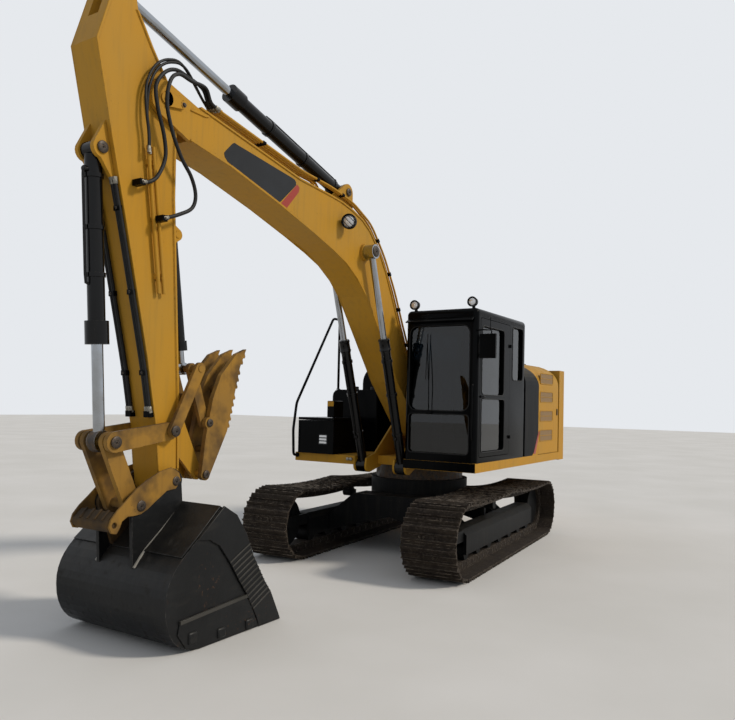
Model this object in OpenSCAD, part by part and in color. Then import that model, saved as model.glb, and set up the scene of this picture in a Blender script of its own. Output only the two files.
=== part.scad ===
// Crawler excavator with cab, boom, stick, coupler, bucket and thumb.
// Frame: +X forward along the boom, +Y to the cab's side, +Z up, in millimetres.
// The origin lies on the ground, on the swing axis.

/* [Undercarriage] */
// Distance between the centre lines of the two tracks
track_gauge = 1990; // [1900:10:2200]
// Width of a track shoe
shoe_w = 600; // [500:10:700]
// Distance between the idler's axle and the sprocket's axle
axle_gap = 3320; // [3200:10:3500]
// Radius of the idler at the chain's pins
idler_r = 322; // [300:1:340]
// Radius of the sprocket at the chain's pins
sprocket_r = 299; // [280:1:320]
// Number of shoes in one track
shoe_count = 50; // [48:1:51]
// Height of a grouser over its shoe plate
grouser_h = 26; // [18:1:32]
// Thickness of a shoe plate
shoe_t = 14; // [10:1:18]
// Distance from the chain's pins to the underside of the shoe plates
link_up = 46; // [40:1:54]
// Height of a chain link inside its pins
link_in = 46; // [40:1:54]
// Width of the chain over its links
chain_w = 190; // [160:2:210]
// Sag of the upper run beside the carrier roller
track_sag = 34; // [10:1:50]
// Width of a track frame's box
frame_w = 280; // [240:2:320]
// Number of lower rollers under each frame
roller_count = 7; // [5:1:8]
// Radius of a lower roller's tread
roller_r = 82; // [70:1:90]
// Turn of the tracks under the house, counter-clockwise from above
track_turn = 4.2; // [0:0.1:8]

/* [House] */
// Height of the deck's underside over the ground
deck_z = 1067; // [1040:1:1090]
// Height of the deck's side sills
sill_h = 105; // [90:1:130]
// Distance from the swing axis to the side of the house
house_half = 1238; // [1200:1:1260]
// Distance from the swing axis to the front of the deck
deck_front = 1045; // [1000:5:1100]
// Distance from the swing axis back to the counterweight's front face
weight_front = 1950; // [1900:5:2000]
// Radius that the tail sweeps
tail_r = 2500; // [2450:5:2550]
// Height of the engine hood over the ground
hood_z = 2400; // [2350:5:2450]
// Thickness of the sheet panels
panel_t = 30; // [20:1:40]

/* [Cab] */
// Length of the cab
cab_len = 1555; // [1500:5:1600]
// Width of the cab
cab_w = 900; // [880:2:905]
// Height of the cab over the deck
cab_h = 1728; // [1680:2:1780]
// Thickness of the cab's walls and door
cab_wall = 60; // [50:1:70]
// Thickness of the window glass
glass_t = 8; // [5:1:12]

/* [Boom] */
// Distance between the boom's foot pin and its tip pin
boom_len = 5100; // [5050:5:5150]
// Angle of the foot-to-tip line over the horizontal at rest
boom_pose = 29.9; // [28:0.1:32]
// Width of the boom
boom_w = 350; // [330:2:380]
// Distance of the foot pin in front of the swing axis
foot_x = 200; // [180:5:220]
// Height of the foot pin over the ground
foot_z = 1570; // [1550:5:1590]

/* [Stick] */
// Distance between the stick's two end pins
stick_len = 2940; // [2900:5:2960]
// Direction of the stick from the boom tip, from horizontal
stick_pose = -93.6; // [-96:0.1:-92]
// Width of the stick
stick_w = 270; // [250:2:290]

/* [Bucket] */
// Width of the bucket over its side plates
bucket_w = 1220; // [1100:10:1300]
// Thickness of the bucket's side plates
bucket_side_t = 24; // [18:1:32]
// Thickness of the bucket's wrapper
bucket_shell_t = 18; // [14:1:24]
// Clear gap between the stick's tip and each coupler plate
coupler_gap = 7; // [5:1:10]
// Thickness of a coupler plate
coupler_t = 30; // [24:1:36]
// Thickness of a bucket ear plate
ear_t = 30; // [24:1:36]

/* [Thumb] */
// Width of the thumb over its outer tines
thumb_w = 350; // [300:5:360]
// Thickness of a thumb tine
tine_t = 40; // [30:1:50]

/* [Pins] */
// Radius of the boom's foot and tip pins
big_pin_r = 42; // [36:1:48]
// Radius of the stick's, cylinders' and links' pins
pin_r = 35; // [30:1:38]
// Radial clearance of a bore round its pin
bore_gap = 0.5; // [0.3:0.1:1]
// Play between the faces that turn against each other
side_gap = 6; // [5:0.5:8]

/* [Hidden] */
$fn = 48;

yellow = "#D9A02B";
black = "#1C1D20";
steel = "#55585C";
chrome = "#C9CCD1";

// Points of a curve that leaves a towards b and reaches c from b
function bend(a, b, c, n = 8) =
    [for (i = [0:n]) let (t = i / n) a * (1 - t) * (1 - t) + b * 2 * t * (1 - t) + c * t * t];
// Points of an arc about c from angle a0 to angle a1
function arc(c, r, a0, a1, n = 12) =
    [for (i = [0:n]) let (a = a0 + (a1 - a0) * i / n) c + r * [cos(a), sin(a)]];
// Turns a point of the XZ plane by angle a
function turned(p, a) = [p[0] * cos(a) - p[1] * sin(a), p[0] * sin(a) + p[1] * cos(a)];
function heading(v) = atan2(v[1], v[0]);

// An outline in the XZ plane, extruded across the machine about y
module slab(w, y = 0) {
    translate([0, y, 0]) rotate([90, 0, 0]) linear_extrude(w, center = true) children();
}
// A round bar across the machine at p in the XZ plane
module cross(p, r, w, y = 0) {
    translate([p[0], y, p[1]]) rotate([90, 0, 0]) cylinder(r = r, h = w, center = true);
}
// The same form on both sides of the middle plane
module both() {
    children();
    mirror([0, 1, 0]) children();
}

// Places in the undercarriage
plate_top = link_up + shoe_t;
tip_up = plate_top + grouser_h;
idler_c = [axle_gap / 2, tip_up + idler_r];
sprocket_c = [-axle_gap / 2, tip_up + sprocket_r];
wheel_w = 120;
roller_w = 200;
roller_z = tip_up + link_in + 1 + roller_r;
carrier_p = [axle_gap * 0.03, tip_up + idler_r * 2 - 6];
carrier_r = 62;
skirt_t = 35;
frame_low = roller_z - 10;
frame_top = 470;
frame_bevel = 60;

// The path of the chain at a height over its pins: idler, upper run, sprocket, lower run
function hang(a, b, n = 6) =
    [for (i = [1:n - 1]) let (t = i / n) a * (1 - t) + b * t - [0, 4 * track_sag * t * (1 - t)]];
function chain_path(up) = concat(
    arc(idler_c, idler_r + up, -90, 90, 16),
    hang(idler_c + [0, idler_r + up], carrier_p + [0, up]), [carrier_p + [0, up]],
    hang(carrier_p + [0, up], sprocket_c + [0, sprocket_r + up]),
    arc(sprocket_c, sprocket_r + up, 90, 270, 16));
pins = concat(chain_path(0), [idler_c - [0, idler_r]]);
chain_s = [for (i = 0, s = 0; i < len(pins);
    s = s + (i + 1 < len(pins) ? norm(pins[i + 1] - pins[i]) : 0), i = i + 1) s];
chain_x = [for (i = [0:len(pins) - 1]) [chain_s[i], pins[i][0]]];
chain_z = [for (i = [0:len(pins) - 1]) [chain_s[i], pins[i][1]]];
shoe_pitch = chain_s[len(chain_s) - 1] / shoe_count;
function chain_at(s) = [lookup(s, chain_x), lookup(s, chain_z)];

// One shoe: share of the pitch, height over the pins
shoe_profile = [[0.02, link_up + 3], [0.02, plate_top], [0.12, tip_up], [0.18, plate_top],
    [0.44, plate_top], [0.50, tip_up], [0.56, plate_top], [0.88, tip_up], [0.98, link_up + 3]];
function shoe_points(profile) = [for (k = [0:shoe_count - 1])
    let (a = chain_at(k * shoe_pitch), b = chain_at((k + 1) * shoe_pitch), u = b - a,
        side = [u[1], -u[0]] / norm(u))
    each [for (q = profile) a + u * q[0] + side * q[1]]];

// Places on the house
deck_top = deck_z + sill_h;
foot_p = [foot_x, foot_z];
boom_base_p = [950, 1060];
boom_cyl_y = 270;
boom_eye_w = 118;
tower_y = boom_w / 2 + side_gap;
tower_t = boom_cyl_y - boom_eye_w / 2 - side_gap - tower_y;
outer_lug_t = 30;
slot_half = boom_cyl_y + boom_eye_w / 2 + side_gap;
slot_back = 760;
cab_back = deck_front - cab_len;
cab_in = house_half - cab_w;
cab_top = deck_top + cab_h;
hood_shoulder = hood_z - 300;

// Places on the boom, from its foot pin
boom_cyl_p = [2280, 880];
stick_base_p = [2800, 1290];
tip_p = [foot_x + boom_len * cos(boom_pose), foot_z + boom_len * sin(boom_pose)];
ear_gap = 5;
fork_len = 290;
boom_end = boom_len - fork_len;
module in_boom() {
    translate([foot_x, 0, foot_z]) rotate([0, -boom_pose, 0]) children();
}
function boom_to_world(p) = foot_p + turned(p, boom_pose);

// Places on the stick, from the boom's tip pin; X runs down the stick, Z to its front
stick_cyl_p = [-750, 315];
bucket_base_p = [490, 530];
idler_p = [stick_len - 386, 0];
link_rod_p = [idler_p[0] + 38, 526];
thumb_hub_p = [stick_len + 1, -361];
thumb_base_p = [1000, -200];
thumb_link_p = [2075, -285];
thumb_pin_r = 30;
thumb_hub_r = 50;
rod_slot_x = -480;
module in_stick() {
    translate([tip_p[0], 0, tip_p[1]]) rotate([0, -stick_pose, 0]) children();
}
function stick_to_world(p) = tip_p + turned(p, stick_pose);

// Places on the bucket, from the stick's lower pin, in the machine's directions
bucket_p = stick_to_world([stick_len, 0]);
link_p = [333, -156];
module in_bucket() {
    translate([bucket_p[0], 0, bucket_p[1]]) children();
}
bucket_floor = -bucket_p[1] + 3;
bucket_lip = [-101, -173];

module in_tracks() {
    rotate([0, 0, track_turn]) children();
}

function unit(v) = v / norm(v);
// Direction of the route at each of its points
function route_ways(p) = [for (i = [0:len(p) - 1]) unit(p[min(i + 1, len(p) - 1)] - p[max(i - 1, 0)])];
function square_to(s, t) = unit(s - t * (s * t));
// A round tube or hose of radius r, swept along the route p, with n sides
module tube(p, r, n = 12) {
    t = route_ways(p);
    first = square_to(abs(t[0][1]) < 0.8 ? [0, 1, 0] : [1, 0, 0], t[0]);
    side = [for (i = 0, s = first; i < len(p); s = i + 1 < len(p) ? square_to(s, t[i + 1]) : s, i = i + 1) s];
    polyhedron([for (i = [0:len(p) - 1], k = [0:n - 1])
        p[i] + r * (cos(360 * k / n) * side[i] + sin(360 * k / n) * cross(t[i], side[i]))],
        concat([[for (k = [0:n - 1]) k], [for (k = [n - 1:-1:0]) (len(p) - 1) * n + k]],
            [for (i = [0:len(p) - 2], k = [0:n - 1]) let (a = i * n + k, b = i * n + (k + 1) % n)
                [a, a + n, b + n, b]]));
}
// The route with each inner corner rounded, over a length of cut on both sides
function rounded(p, cut, n = 4) = concat([p[0]],
    [for (i = [1:len(p) - 2]) each bend(p[i] + unit(p[i - 1] - p[i]) * cut, p[i],
        p[i] + unit(p[i + 1] - p[i]) * cut, n)], [p[len(p) - 1]]);
// A barrel from its base eye, along +X, bored for its rod
module barrel(r, length, eye_r, eye_w, pin, collar_r, collar_len, rod_r) {
    difference() {
        union() {
            translate([eye_r * 0.7, 0, 0]) rotate([0, 90, 0])
                cylinder(r = r, h = length - eye_r * 0.7);
            translate([length - collar_len, 0, 0]) rotate([0, 90, 0])
                cylinder(r = collar_r, h = collar_len);
            cross([0, 0], eye_r, eye_w);
        }
        cross([0, 0], pin + bore_gap, eye_w + 2);
        translate([eye_r + 6, 0, 0]) rotate([0, 90, 0]) cylinder(r = rod_r + bore_gap, h = length);
    }
}
// A rod that ends in an eye at the origin and reaches back along -X
module rod(r, length, eye_r, eye_w) {
    translate([-length, 0, 0]) rotate([0, 90, 0]) cylinder(r = r, h = length - eye_r * 0.6);
    cross([0, 0], eye_r, eye_w);
}
// Lays a cylinder's X axis from point a towards point b of the XZ plane
module along(a, b) {
    translate([a[0], 0, a[1]]) rotate([0, -heading(b - a), 0]) children();
}

// Undercarriage

module track(side) {
    color(steel) in_tracks() translate([0, side * track_gauge / 2, 0]) {
        slab(shoe_w) difference() {
            polygon(shoe_points(shoe_profile));
            polygon(shoe_points([[0.02, link_up], [0.98, link_up]]));
        }
        slab(chain_w) difference() {
            polygon(shoe_points([[0.02, link_up + 1], [0.98, link_up + 1]]));
            polygon(chain_path(-link_in));
        }
    }
}

wheel_play = 40;
// Room for the flat facets of the chain's inner side on a wheel
wheel_seat = 2;
frame_x0 = sprocket_c[0] + sprocket_r + wheel_play;
frame_x1 = idler_c[0] - idler_r - wheel_play;
fork_t = 40;
module track_frames() {
    half = frame_w / 2;
    color(steel) in_tracks() both() translate([0, track_gauge / 2, 0]) {
        translate([frame_x0, 0, 0]) rotate([90, 0, 90]) linear_extrude(frame_x1 - frame_x0)
            polygon([[-half, frame_low], [-half + skirt_t, frame_low], [-half + skirt_t, frame_low + 130],
                [half - skirt_t, frame_low + 130], [half - skirt_t, frame_low], [half, frame_low],
                [half, frame_top - frame_bevel], [half - frame_bevel, frame_top],
                [-half + frame_bevel, frame_top], [-half, frame_top - frame_bevel]]);
        // Fork that carries the idler
        for (y = [-1, 1]) translate([frame_x1 - 1, y * (wheel_w / 2 + fork_t / 2 + side_gap) - fork_t / 2,
            idler_c[1] - 60]) cube([idler_c[0] - frame_x1 + 70, fork_t, 120]);
        // Plate that carries the final drive
        translate([0, -wheel_w / 2 - side_gap - fork_t / 2, 0]) slab(fork_t) polygon(concat(
            arc(sprocket_c, 150, 90, 270, 12),
            [[frame_x0 + 1, frame_low + 20], [frame_x0 + 1, frame_top - frame_bevel]]));
        // Bracket of the carrier roller
        translate([carrier_p[0] - 30, -wheel_w / 2 - fork_t, frame_top - 1])
            cube([60, fork_t, carrier_p[1] - link_in - carrier_r - frame_top + 30]);
    }
}

module idlers() {
    color(steel) in_tracks() both() translate([0, track_gauge / 2, 0]) {
        cross(idler_c, idler_r - link_in - wheel_seat, wheel_w);
        cross(idler_c, 50, wheel_w + 2 * side_gap);
    }
}

module sprockets() {
    color(steel) in_tracks() both() translate([0, track_gauge / 2, 0]) {
        cross(sprocket_c, sprocket_r - link_in - wheel_seat, wheel_w);
        cross(sprocket_c, 130, wheel_w + side_gap, -side_gap / 2);
    }
}

module track_rollers() {
    first = frame_x0 + roller_r + 20;
    last = frame_x1 - roller_r - 20;
    color(steel) in_tracks() both() translate([0, track_gauge / 2, 0]) {
        for (i = [0:roller_count - 1])
            translate([first + (last - first) * i / (roller_count - 1), 0, 0]) {
                cross([0, roller_z], roller_r, roller_w);
                cross([0, roller_z + 10], 32, frame_w - 2 * skirt_t);
            }
        cross([carrier_p[0], carrier_p[1] - link_in - 1 - carrier_r], carrier_r, wheel_w);
    }
}

bearing_low = 880;
bearing_r = 560;
module car_body() {
    reach = track_gauge / 2 - frame_w / 2;
    color(steel) in_tracks() {
        translate([0, 0, 560]) cylinder(r = 620, h = bearing_low - 560);
        both() for (x = [-1, 1])
            translate([x * 700 - 170, 0, 0]) rotate([90, 0, 90]) linear_extrude(340)
                polygon([[0, 450], [reach, frame_low + 20], [reach, frame_top - frame_bevel], [500, 700], [0, 700]]);
        translate([-871, -560, 450]) cube([1742, 1120, 200]);
    }
}

module swing_bearing() {
    color(steel) translate([0, 0, bearing_low]) cylinder(r = bearing_r, h = deck_z - bearing_low - 0.3);
}

// House

hinge_r = 12;
door_rear = -weight_front + 50;
door_front = -1050;
door_axis = [door_rear + 15, house_half - 43];
door_reach = norm([door_front, house_half] - door_axis);
door_gap = 6;
bulkhead_x = cab_back - 45;
tower_back = cab_back + 20;
module main_frame() {
    color(yellow) {
        difference() {
            translate([-weight_front, -house_half, deck_z])
                cube([deck_front + weight_front, house_half * 2, sill_h]);
            translate([slot_back, -slot_half, deck_z - 1])
                cube([deck_front - slot_back + 1, slot_half * 2, sill_h + 2]);
        }
        both() {
            translate([0, tower_y + tower_t / 2, 0]) slab(tower_t) polygon(concat(
                [[tower_back, deck_top - 1]], arc(foot_p, 130, 160, 20, 8),
                [[slot_back + 60, deck_top + 30], [boom_base_p[0] + 60, deck_top - 20]],
                arc(boom_base_p, 80, 10, -100, 6), [[slot_back - 60, deck_z - 30], [bearing_r + 60, deck_z + 1]]));
            translate([0, slot_half + outer_lug_t / 2, 0]) slab(outer_lug_t)
                polygon(concat([[slot_back - 1, deck_top - 1], [deck_front - 1, deck_top - 1]],
                    arc(boom_base_p, 80, 10, -100, 6), [[slot_back - 1, deck_z + 1]]));
            cross(boom_base_p, pin_r, boom_eye_w + 2 * side_gap + 2, boom_cyl_y);
            // Rods that the side doors hang on
            translate([door_axis[0], door_axis[1], deck_top - 1]) cylinder(r = hinge_r, h = hood_shoulder - deck_top - 80);
        }
        cross(foot_p, big_pin_r, 2 * (tower_y + tower_t + 12));
    }
}

module counterweight() {
    color(yellow) intersection() {
        translate([0, 0, deck_z - 10]) cylinder(r = tail_r, h = 1290);
        translate([-tail_r, -house_half, deck_z - 10]) cube([tail_r - weight_front, house_half * 2, 1290]);
    }
}

module engine_block() {
    color(steel) translate([-1700, -500, deck_top]) cube([700, 1000, 750]);
}

module hood_outline(low) {
    polygon(concat([[house_half, low], [house_half, hood_shoulder]],
        bend([house_half, hood_shoulder], [house_half, hood_z - 80], [house_half - 290, hood_z]),
        [[house_half - 290, hood_z - panel_t]],
        bend([house_half - 290, hood_z - panel_t], [house_half - panel_t, hood_z - 80 - panel_t],
            [house_half - panel_t, hood_shoulder]),
        [[house_half - panel_t, low]]));
}
module hood_section(low) {
    inner = house_half - panel_t + 1;
    polygon(concat([[0, low], [inner, low]], bend([inner, hood_shoulder], [inner, hood_z - 80],
        [house_half - 290, hood_z]), [[0, hood_z]]));
}
module side_wall(x0, x1, low) {
    translate([x0, 0, 0]) rotate([90, 0, 90]) linear_extrude(x1 - x0) hood_outline(low);
}
module door_sweep(r) {
    translate([door_axis[0], door_axis[1], deck_z]) cylinder(r = r, h = hood_z, $fn = 240);
}

// A cross hinge: the pin and the two lugs that hold it, then the knuckle that turns on it
knuckle_w = 50;
module hinge_pin(foot) {
    cross([0, 0], 7, knuckle_w + 36);
    reach = max(foot, 12);
    for (y = [-1, 1]) translate([0, y * (knuckle_w / 2 + 10), 0]) slab(16)
        polygon(concat([[reach, -12], [reach, -4]], arc([0, 0], 11, 60, 270, 8)));
}
module hinge_knuckle(foot) {
    difference() {
        slab(knuckle_w) polygon([[foot, -12], [foot, -5], [-4, 12], [10, 10], [12, -2], [3, -12]]);
        cross([0, 0], 7 + bore_gap, knuckle_w + 2);
    }
}

hood_axis = [bulkhead_x - 8, hood_z + 12];
module engine_hood() {
    color(black) {
        translate([-weight_front + 5, -house_half + 300, hood_z - panel_t])
            cube([weight_front + bulkhead_x - 11, (house_half - 300) * 2, panel_t]);
        for (y = [-500, 500]) translate([hood_axis[0], y, hood_axis[1]]) hinge_knuckle(-60);
    }
}

module side_panels() {
    color(black) {
        both() difference() {
            side_wall(door_front - 60, cab_back - 15, deck_top);
            door_sweep(door_reach + door_gap);
        }
        both() translate([bulkhead_x, 0, 0]) rotate([90, 0, 90]) linear_extrude(30) hood_section(deck_top);
        for (y = [-500, 500]) translate([hood_axis[0], y, hood_axis[1]]) hinge_pin(38);
    }
}

module service_door() {
    intersection() {
        side_wall(door_rear, door_front + 40, deck_top + door_gap);
        door_sweep(door_reach);
    }
    for (z = [deck_top + 120, hood_shoulder - 220]) difference() {
        translate([door_axis[0] - 25, door_axis[1] - 20, z]) cube([50, house_half - panel_t - door_axis[1] + 21, 60]);
        translate([door_axis[0], door_axis[1], z - 1]) cylinder(r = hinge_r + bore_gap, h = 62);
    }
}
module service_door_left() {
    color(yellow) service_door();
}

module service_door_right() {
    color(yellow) mirror([0, 1, 0]) service_door();
}

tank_top = deck_top + 820;
module tanks() {
    color(yellow) translate([cab_back, -house_half, deck_top]) cube([760, 720, tank_top - deck_top]);
}

box_back = 420;
box_front = deck_front + 40;
box_y = -1170;
box_w = 540;
box_h = 410;
lid_axis = [box_back - 14, deck_top + box_h + door_gap + 32 - 12];
module tool_box() {
    color(black) {
        translate([box_back, box_y, deck_top]) cube([box_front - box_back, box_w, box_h]);
        for (y = [box_y + 100, box_y + box_w - 100]) {
            translate([lid_axis[0], y, lid_axis[1]]) hinge_pin(0);
            for (side = [-1, 1]) translate([lid_axis[0] - 10, y + side * (knuckle_w / 2 + 10) - 8, deck_top + 300])
                cube([25, 16, lid_axis[1] - deck_top - 300]);
        }
    }
}

module tool_box_lid() {
    color(black) {
        translate([box_back + 6, box_y, deck_top + box_h + door_gap]) cube([box_front - box_back - 6, box_w, 32]);
        for (y = [box_y + 100, box_y + box_w - 100])
            translate([lid_axis[0], y, lid_axis[1]]) mirror([1, 0, 0]) hinge_knuckle(-30);
    }
}

rail_r = 17;
rail_y = -house_half + 33;
rail_foot = 10;
rail_foot_z = deck_z + 70;
rail_back = 160;
// Rail beside the tool box, from the deck's front face up to the top of the tanks
rail_route = [[deck_front + rail_foot, rail_y, rail_foot_z], [deck_front + 85, rail_y, rail_foot_z],
    [deck_front + 103, rail_y, 1463], [deck_front + 45, rail_y, 1800], [312, rail_y, 2960],
    [rail_back, rail_y, 2960], [rail_back, rail_y, tank_top + rail_foot]];
module handrails() {
    color(black) {
        tube(rounded(rail_route, 45), rail_r);
        translate([deck_front, rail_y, rail_foot_z]) rotate([0, 90, 0]) cylinder(r = 30, h = rail_foot + 1);
        translate([rail_back, rail_y, tank_top]) cylinder(r = 30, h = rail_foot + 1);
    }
}

mirror_p = [1000, house_half + 108, 2470];
mirror_w = 190;
mirror_h = 270;
module mirror_arm() {
    color(black) {
        translate(mirror_p - [15, mirror_w / 2, mirror_h / 2]) cube([30, mirror_w, mirror_h]);
        for (z = [-90, 90]) translate([mirror_p[0], house_half, mirror_p[2] + z]) rotate([-90, 0, 0])
            cylinder(r = 9, h = mirror_p[1] - mirror_w / 2 - house_half + 1);
        translate([mirror_p[0] - 20, house_half, mirror_p[2] - 120]) cube([40, 6, 240]);
    }
}

// Cab

cab_post = 90;
module cab_shell() {
    color(black) difference() {
        translate([cab_back, cab_in, deck_top]) cube([cab_len, cab_w, cab_h]);
        translate([cab_back + cab_wall, cab_in + cab_wall, deck_top + cab_wall])
            cube([cab_len - 2 * cab_wall, cab_w - 2 * cab_wall, cab_h - 2 * cab_wall]);
        // Windscreen
        translate([deck_front - cab_wall - 1, cab_in + cab_post, deck_top + 130])
            cube([cab_wall + 2, cab_w - 2 * cab_post, cab_h - 290]);
        // Doorway
        translate([door_x0, house_half - cab_wall - 1, deck_top + 60])
            cube([door_x1 - door_x0, cab_wall + 2, cab_h - 160]);
        // Rear side window
        translate([cab_back + cab_post, house_half - cab_wall - 1, 2000])
            cube([door_x0 - cab_back - cab_post * 2, cab_wall + 2, 720]);
        // Right window
        translate([cab_back + cab_post, cab_in - 1, 1750])
            cube([cab_len - 2 * cab_post, cab_wall + 2, 970]);
        // Back window
        translate([cab_back - 1, cab_in + cab_post, 2000]) cube([cab_wall + 2, cab_w - 2 * cab_post, 720]);
    }
    color(black) for (z = hinge_heights) door_hinge_at(z - 42) {
        cylinder(r = 5, h = 80);
        cylinder(r = 11, h = 41);
        translate([-40, -12, 0]) cube([40, 5, 41]);
        translate([-9, -12, 0]) cube([9, 12, 41]);
    }
}
door_x0 = cab_back + 560;
door_x1 = deck_front - cab_post;

module cab_glass() {
    color("#8FA6B5") {
        translate([deck_front - cab_wall / 2, cab_in + cab_post, deck_top + 130])
            cube([glass_t, cab_w - 2 * cab_post, cab_h - 290]);
        translate([cab_back + cab_post, house_half - cab_wall / 2, 2000])
            cube([door_x0 - cab_back - cab_post * 2, glass_t, 720]);
        translate([cab_back + cab_post, cab_in + cab_wall / 2, 1750])
            cube([cab_len - 2 * cab_post, glass_t, 970]);
        translate([cab_back + cab_wall / 2, cab_in + cab_post, 2000]) cube([glass_t, cab_w - 2 * cab_post, 720]);
    }
}

door_play = 6;
hinge_heights = [deck_top + 250, deck_top + 1350];
door_hinge = [door_x0 + 2, house_half + 12];
module door_hinge_at(z) {
    translate([door_hinge[0], door_hinge[1], z]) children();
}
module cab_door() {
    x0 = door_x0 + door_play;
    x1 = door_x1 - door_play;
    z0 = deck_top + 60 + door_play;
    z1 = deck_top + cab_h - 100 - door_play;
    color(black) difference() {
        translate([x0, house_half - cab_wall + 2, z0]) cube([x1 - x0, cab_wall - 2, z1 - z0]);
        translate([x0 + 70, house_half - cab_wall, z0 + 560]) cube([x1 - x0 - 140, cab_wall + 2, z1 - z0 - 640]);
        translate([x0 + 70, house_half - cab_wall, z0 + 80]) cube([x1 - x0 - 140, cab_wall + 2, 400]);
    }
    color(black) for (z = hinge_heights) difference() {
        door_hinge_at(z) {
            cylinder(r = 11, h = 40);
            translate([0, -12, 0]) cube([40, 6, 40]);
            translate([0, -12, 0]) cube([9, 12, 40]);
        }
        door_hinge_at(z - 1) cylinder(r = 5 + bore_gap, h = 42);
    }
}

module door_glass() {
    x0 = door_x0 + door_play + 70;
    x1 = door_x1 - door_play - 70;
    z0 = deck_top + 60 + door_play;
    z1 = deck_top + cab_h - 100 - door_play;
    color("#8FA6B5") {
        translate([x0, house_half - cab_wall / 2, z0 + 560]) cube([x1 - x0, glass_t, z1 - z0 - 640]);
        translate([x0, house_half - cab_wall / 2, z0 + 80]) cube([x1 - x0, glass_t, 400]);
    }
}

seat_w = 480;
seat_y = cab_in + (cab_w - seat_w) / 2;
module operator_seat() {
    color(black) translate([0, seat_y, deck_top + cab_wall]) {
        cube([520, seat_w, 450]);
        translate([-60, 0, 0]) cube([130, seat_w, 1150]);
    }
}

module control_consoles() {
    color(black) for (y = [seat_y - 128, seat_y + seat_w + 18])
        translate([100, y, deck_top + cab_wall]) cube([400, 110, 620]);
}

module cab_lamps() {
    color(steel) for (y = [cab_in + 50, house_half - 94])
        translate([deck_front - 60, y, cab_top]) cylinder(r = 45, h = 90);
}

// Boom

boom_top_edge = concat([[0, 185]], bend([900, 440], [1750, 1080], [2320, 1175], 8),
    bend([2420, 1180], [2750, 1140], [3100, 960], 6), [[3546, 728], [boom_end, 244]]);
boom_low_end = [boom_end - 60, -78];
boom_low_edge = concat([boom_low_end, [4300, 92], [3643, 285]],
    bend([2900, 480], [2450, 600], [2000, 500], 6), [[900, 60], [0, -185]]);

base_plate_y = 94;
base_plate_t = 36;
module boom() {
    ear_t = boom_w / 2 - stick_w / 2 - ear_gap;
    color(yellow) in_boom() {
        difference() {
            union() {
                slab(boom_w) polygon(concat(boom_top_edge, boom_low_edge));
                cross([0, 0], 185, boom_w);
                both() translate([0, boom_w / 2 - ear_t / 2, 0]) slab(ear_t)
                    polygon(concat([[boom_end - 80, 240], boom_low_end - [20, 0]], arc([boom_len, 0], 140, -100, 70, 14)));
                cross(boom_cyl_p, 90, 2 * (boom_cyl_y - boom_eye_w / 2 - side_gap));
                both() translate([0, base_plate_y, 0]) slab(base_plate_t) polygon(concat([[2560, 1060], [3060, 900]],
                    arc(stick_base_p, 90, 20, 150, 8)));
            }
            cross([0, 0], big_pin_r + bore_gap, boom_w + 2);
        }
        cross([boom_len, 0], big_pin_r, boom_w + 24);
        cross(stick_base_p, pin_r, 2 * base_plate_y + base_plate_t + 20);
    }
}

pipe_r = 15;
pipe_up = 32;
module boom_pipes() {
    a = [3546, 728];
    b = [boom_end, 244];
    color(steel) in_boom() along(a, b) {
        for (y = [-60, 60]) translate([60, y, pipe_up]) rotate([0, 90, 0]) cylinder(r = pipe_r, h = 1150);
        for (x = [100, 620, 1120]) translate([x, -85, 0]) cube([40, 170, pipe_up + 6]);
    }
}

module boom_lamp() {
    color(steel) in_boom() cross([2550, 800], 60, 80, boom_w / 2 + 40);
}

boom_rod_world = boom_to_world(boom_cyl_p);
module boom_barrels() {
    color(black) along(boom_base_p, boom_rod_world)
        both() translate([0, boom_cyl_y, 0]) barrel(55, 1560, 80, boom_eye_w, pin_r, 60, 150, 36);
}

module boom_rods() {
    color(chrome) along(boom_rod_world, boom_rod_world * 2 - boom_base_p)
        both() translate([0, boom_cyl_y, 0]) rod(36, 1570, 78, boom_eye_w);
}

// Stick

stick_front = [[-820, 380], [-256, 590], [381, 480], [1009, 362], [2000, 190], [2500, 125], [stick_len, 105]];
stick_back = [[stick_len, -100], [2300, -118], [742, -112], [0, -150], [-150, -60], [-360, 78], [-588, 210],
    [-790, 240]];
head_y = 86;
head_t = 36;
thumb_head_y = 62;
thumb_head_t = 24;
hub_plate_y = 64;
hub_plate_t = 30;
tine_y = (thumb_w - tine_t) / 2;
idler_y = stick_w / 2 + side_gap + 19;
link_t = 38;
thumb_link_y = idler_y + link_t / 2 + 11 + 15;
thumb_link_t = 30;
module stick() {
    color(yellow) in_stick() {
        difference() {
            union() {
                slab(stick_w) polygon(concat(stick_front, stick_back));
                cross([0, 0], 150, stick_w);
                cross([stick_len, 0], 105, stick_w);
                cross(stick_cyl_p, 85, stick_w);
                // Brackets of the bucket's cylinder, the thumb's cylinder and the thumb's pin
                both() translate([0, head_y, 0]) slab(head_t) polygon(concat([[800, 380], [240, 470]],
                    arc(bucket_base_p, 75, 130, 10, 6)));
                both() translate([0, thumb_head_y, 0]) slab(thumb_head_t) polygon(concat([[1120, -100], [880, -100]],
                    arc(thumb_base_p, 48, 200, 340, 8)));
                both() translate([0, hub_plate_y, 0]) slab(hub_plate_t) polygon(concat([[2685, -80], [2196, -100]],
                    arc(thumb_hub_p, thumb_hub_r, 250, 402, 8)));
            }
            cross([0, 0], big_pin_r + bore_gap, stick_w + 2);
            cross([stick_len, 0], pin_r + bore_gap, stick_w + 2);
            // Room for the stick cylinder's rod between the two side plates
            slab(112) polygon([[rod_slot_x, -400], [rod_slot_x, 800], [-1200, 800], [-1200, -400]]);
        }
        cross(bucket_base_p, pin_r, 2 * head_y + head_t + 16);
        cross(thumb_base_p, 28, 2 * thumb_head_y + thumb_head_t + 12);
        cross(thumb_hub_p, thumb_pin_r, thumb_w + 20);
        cross(idler_p, pin_r, 2 * thumb_link_y + thumb_link_t + 20);
    }
}

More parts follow.
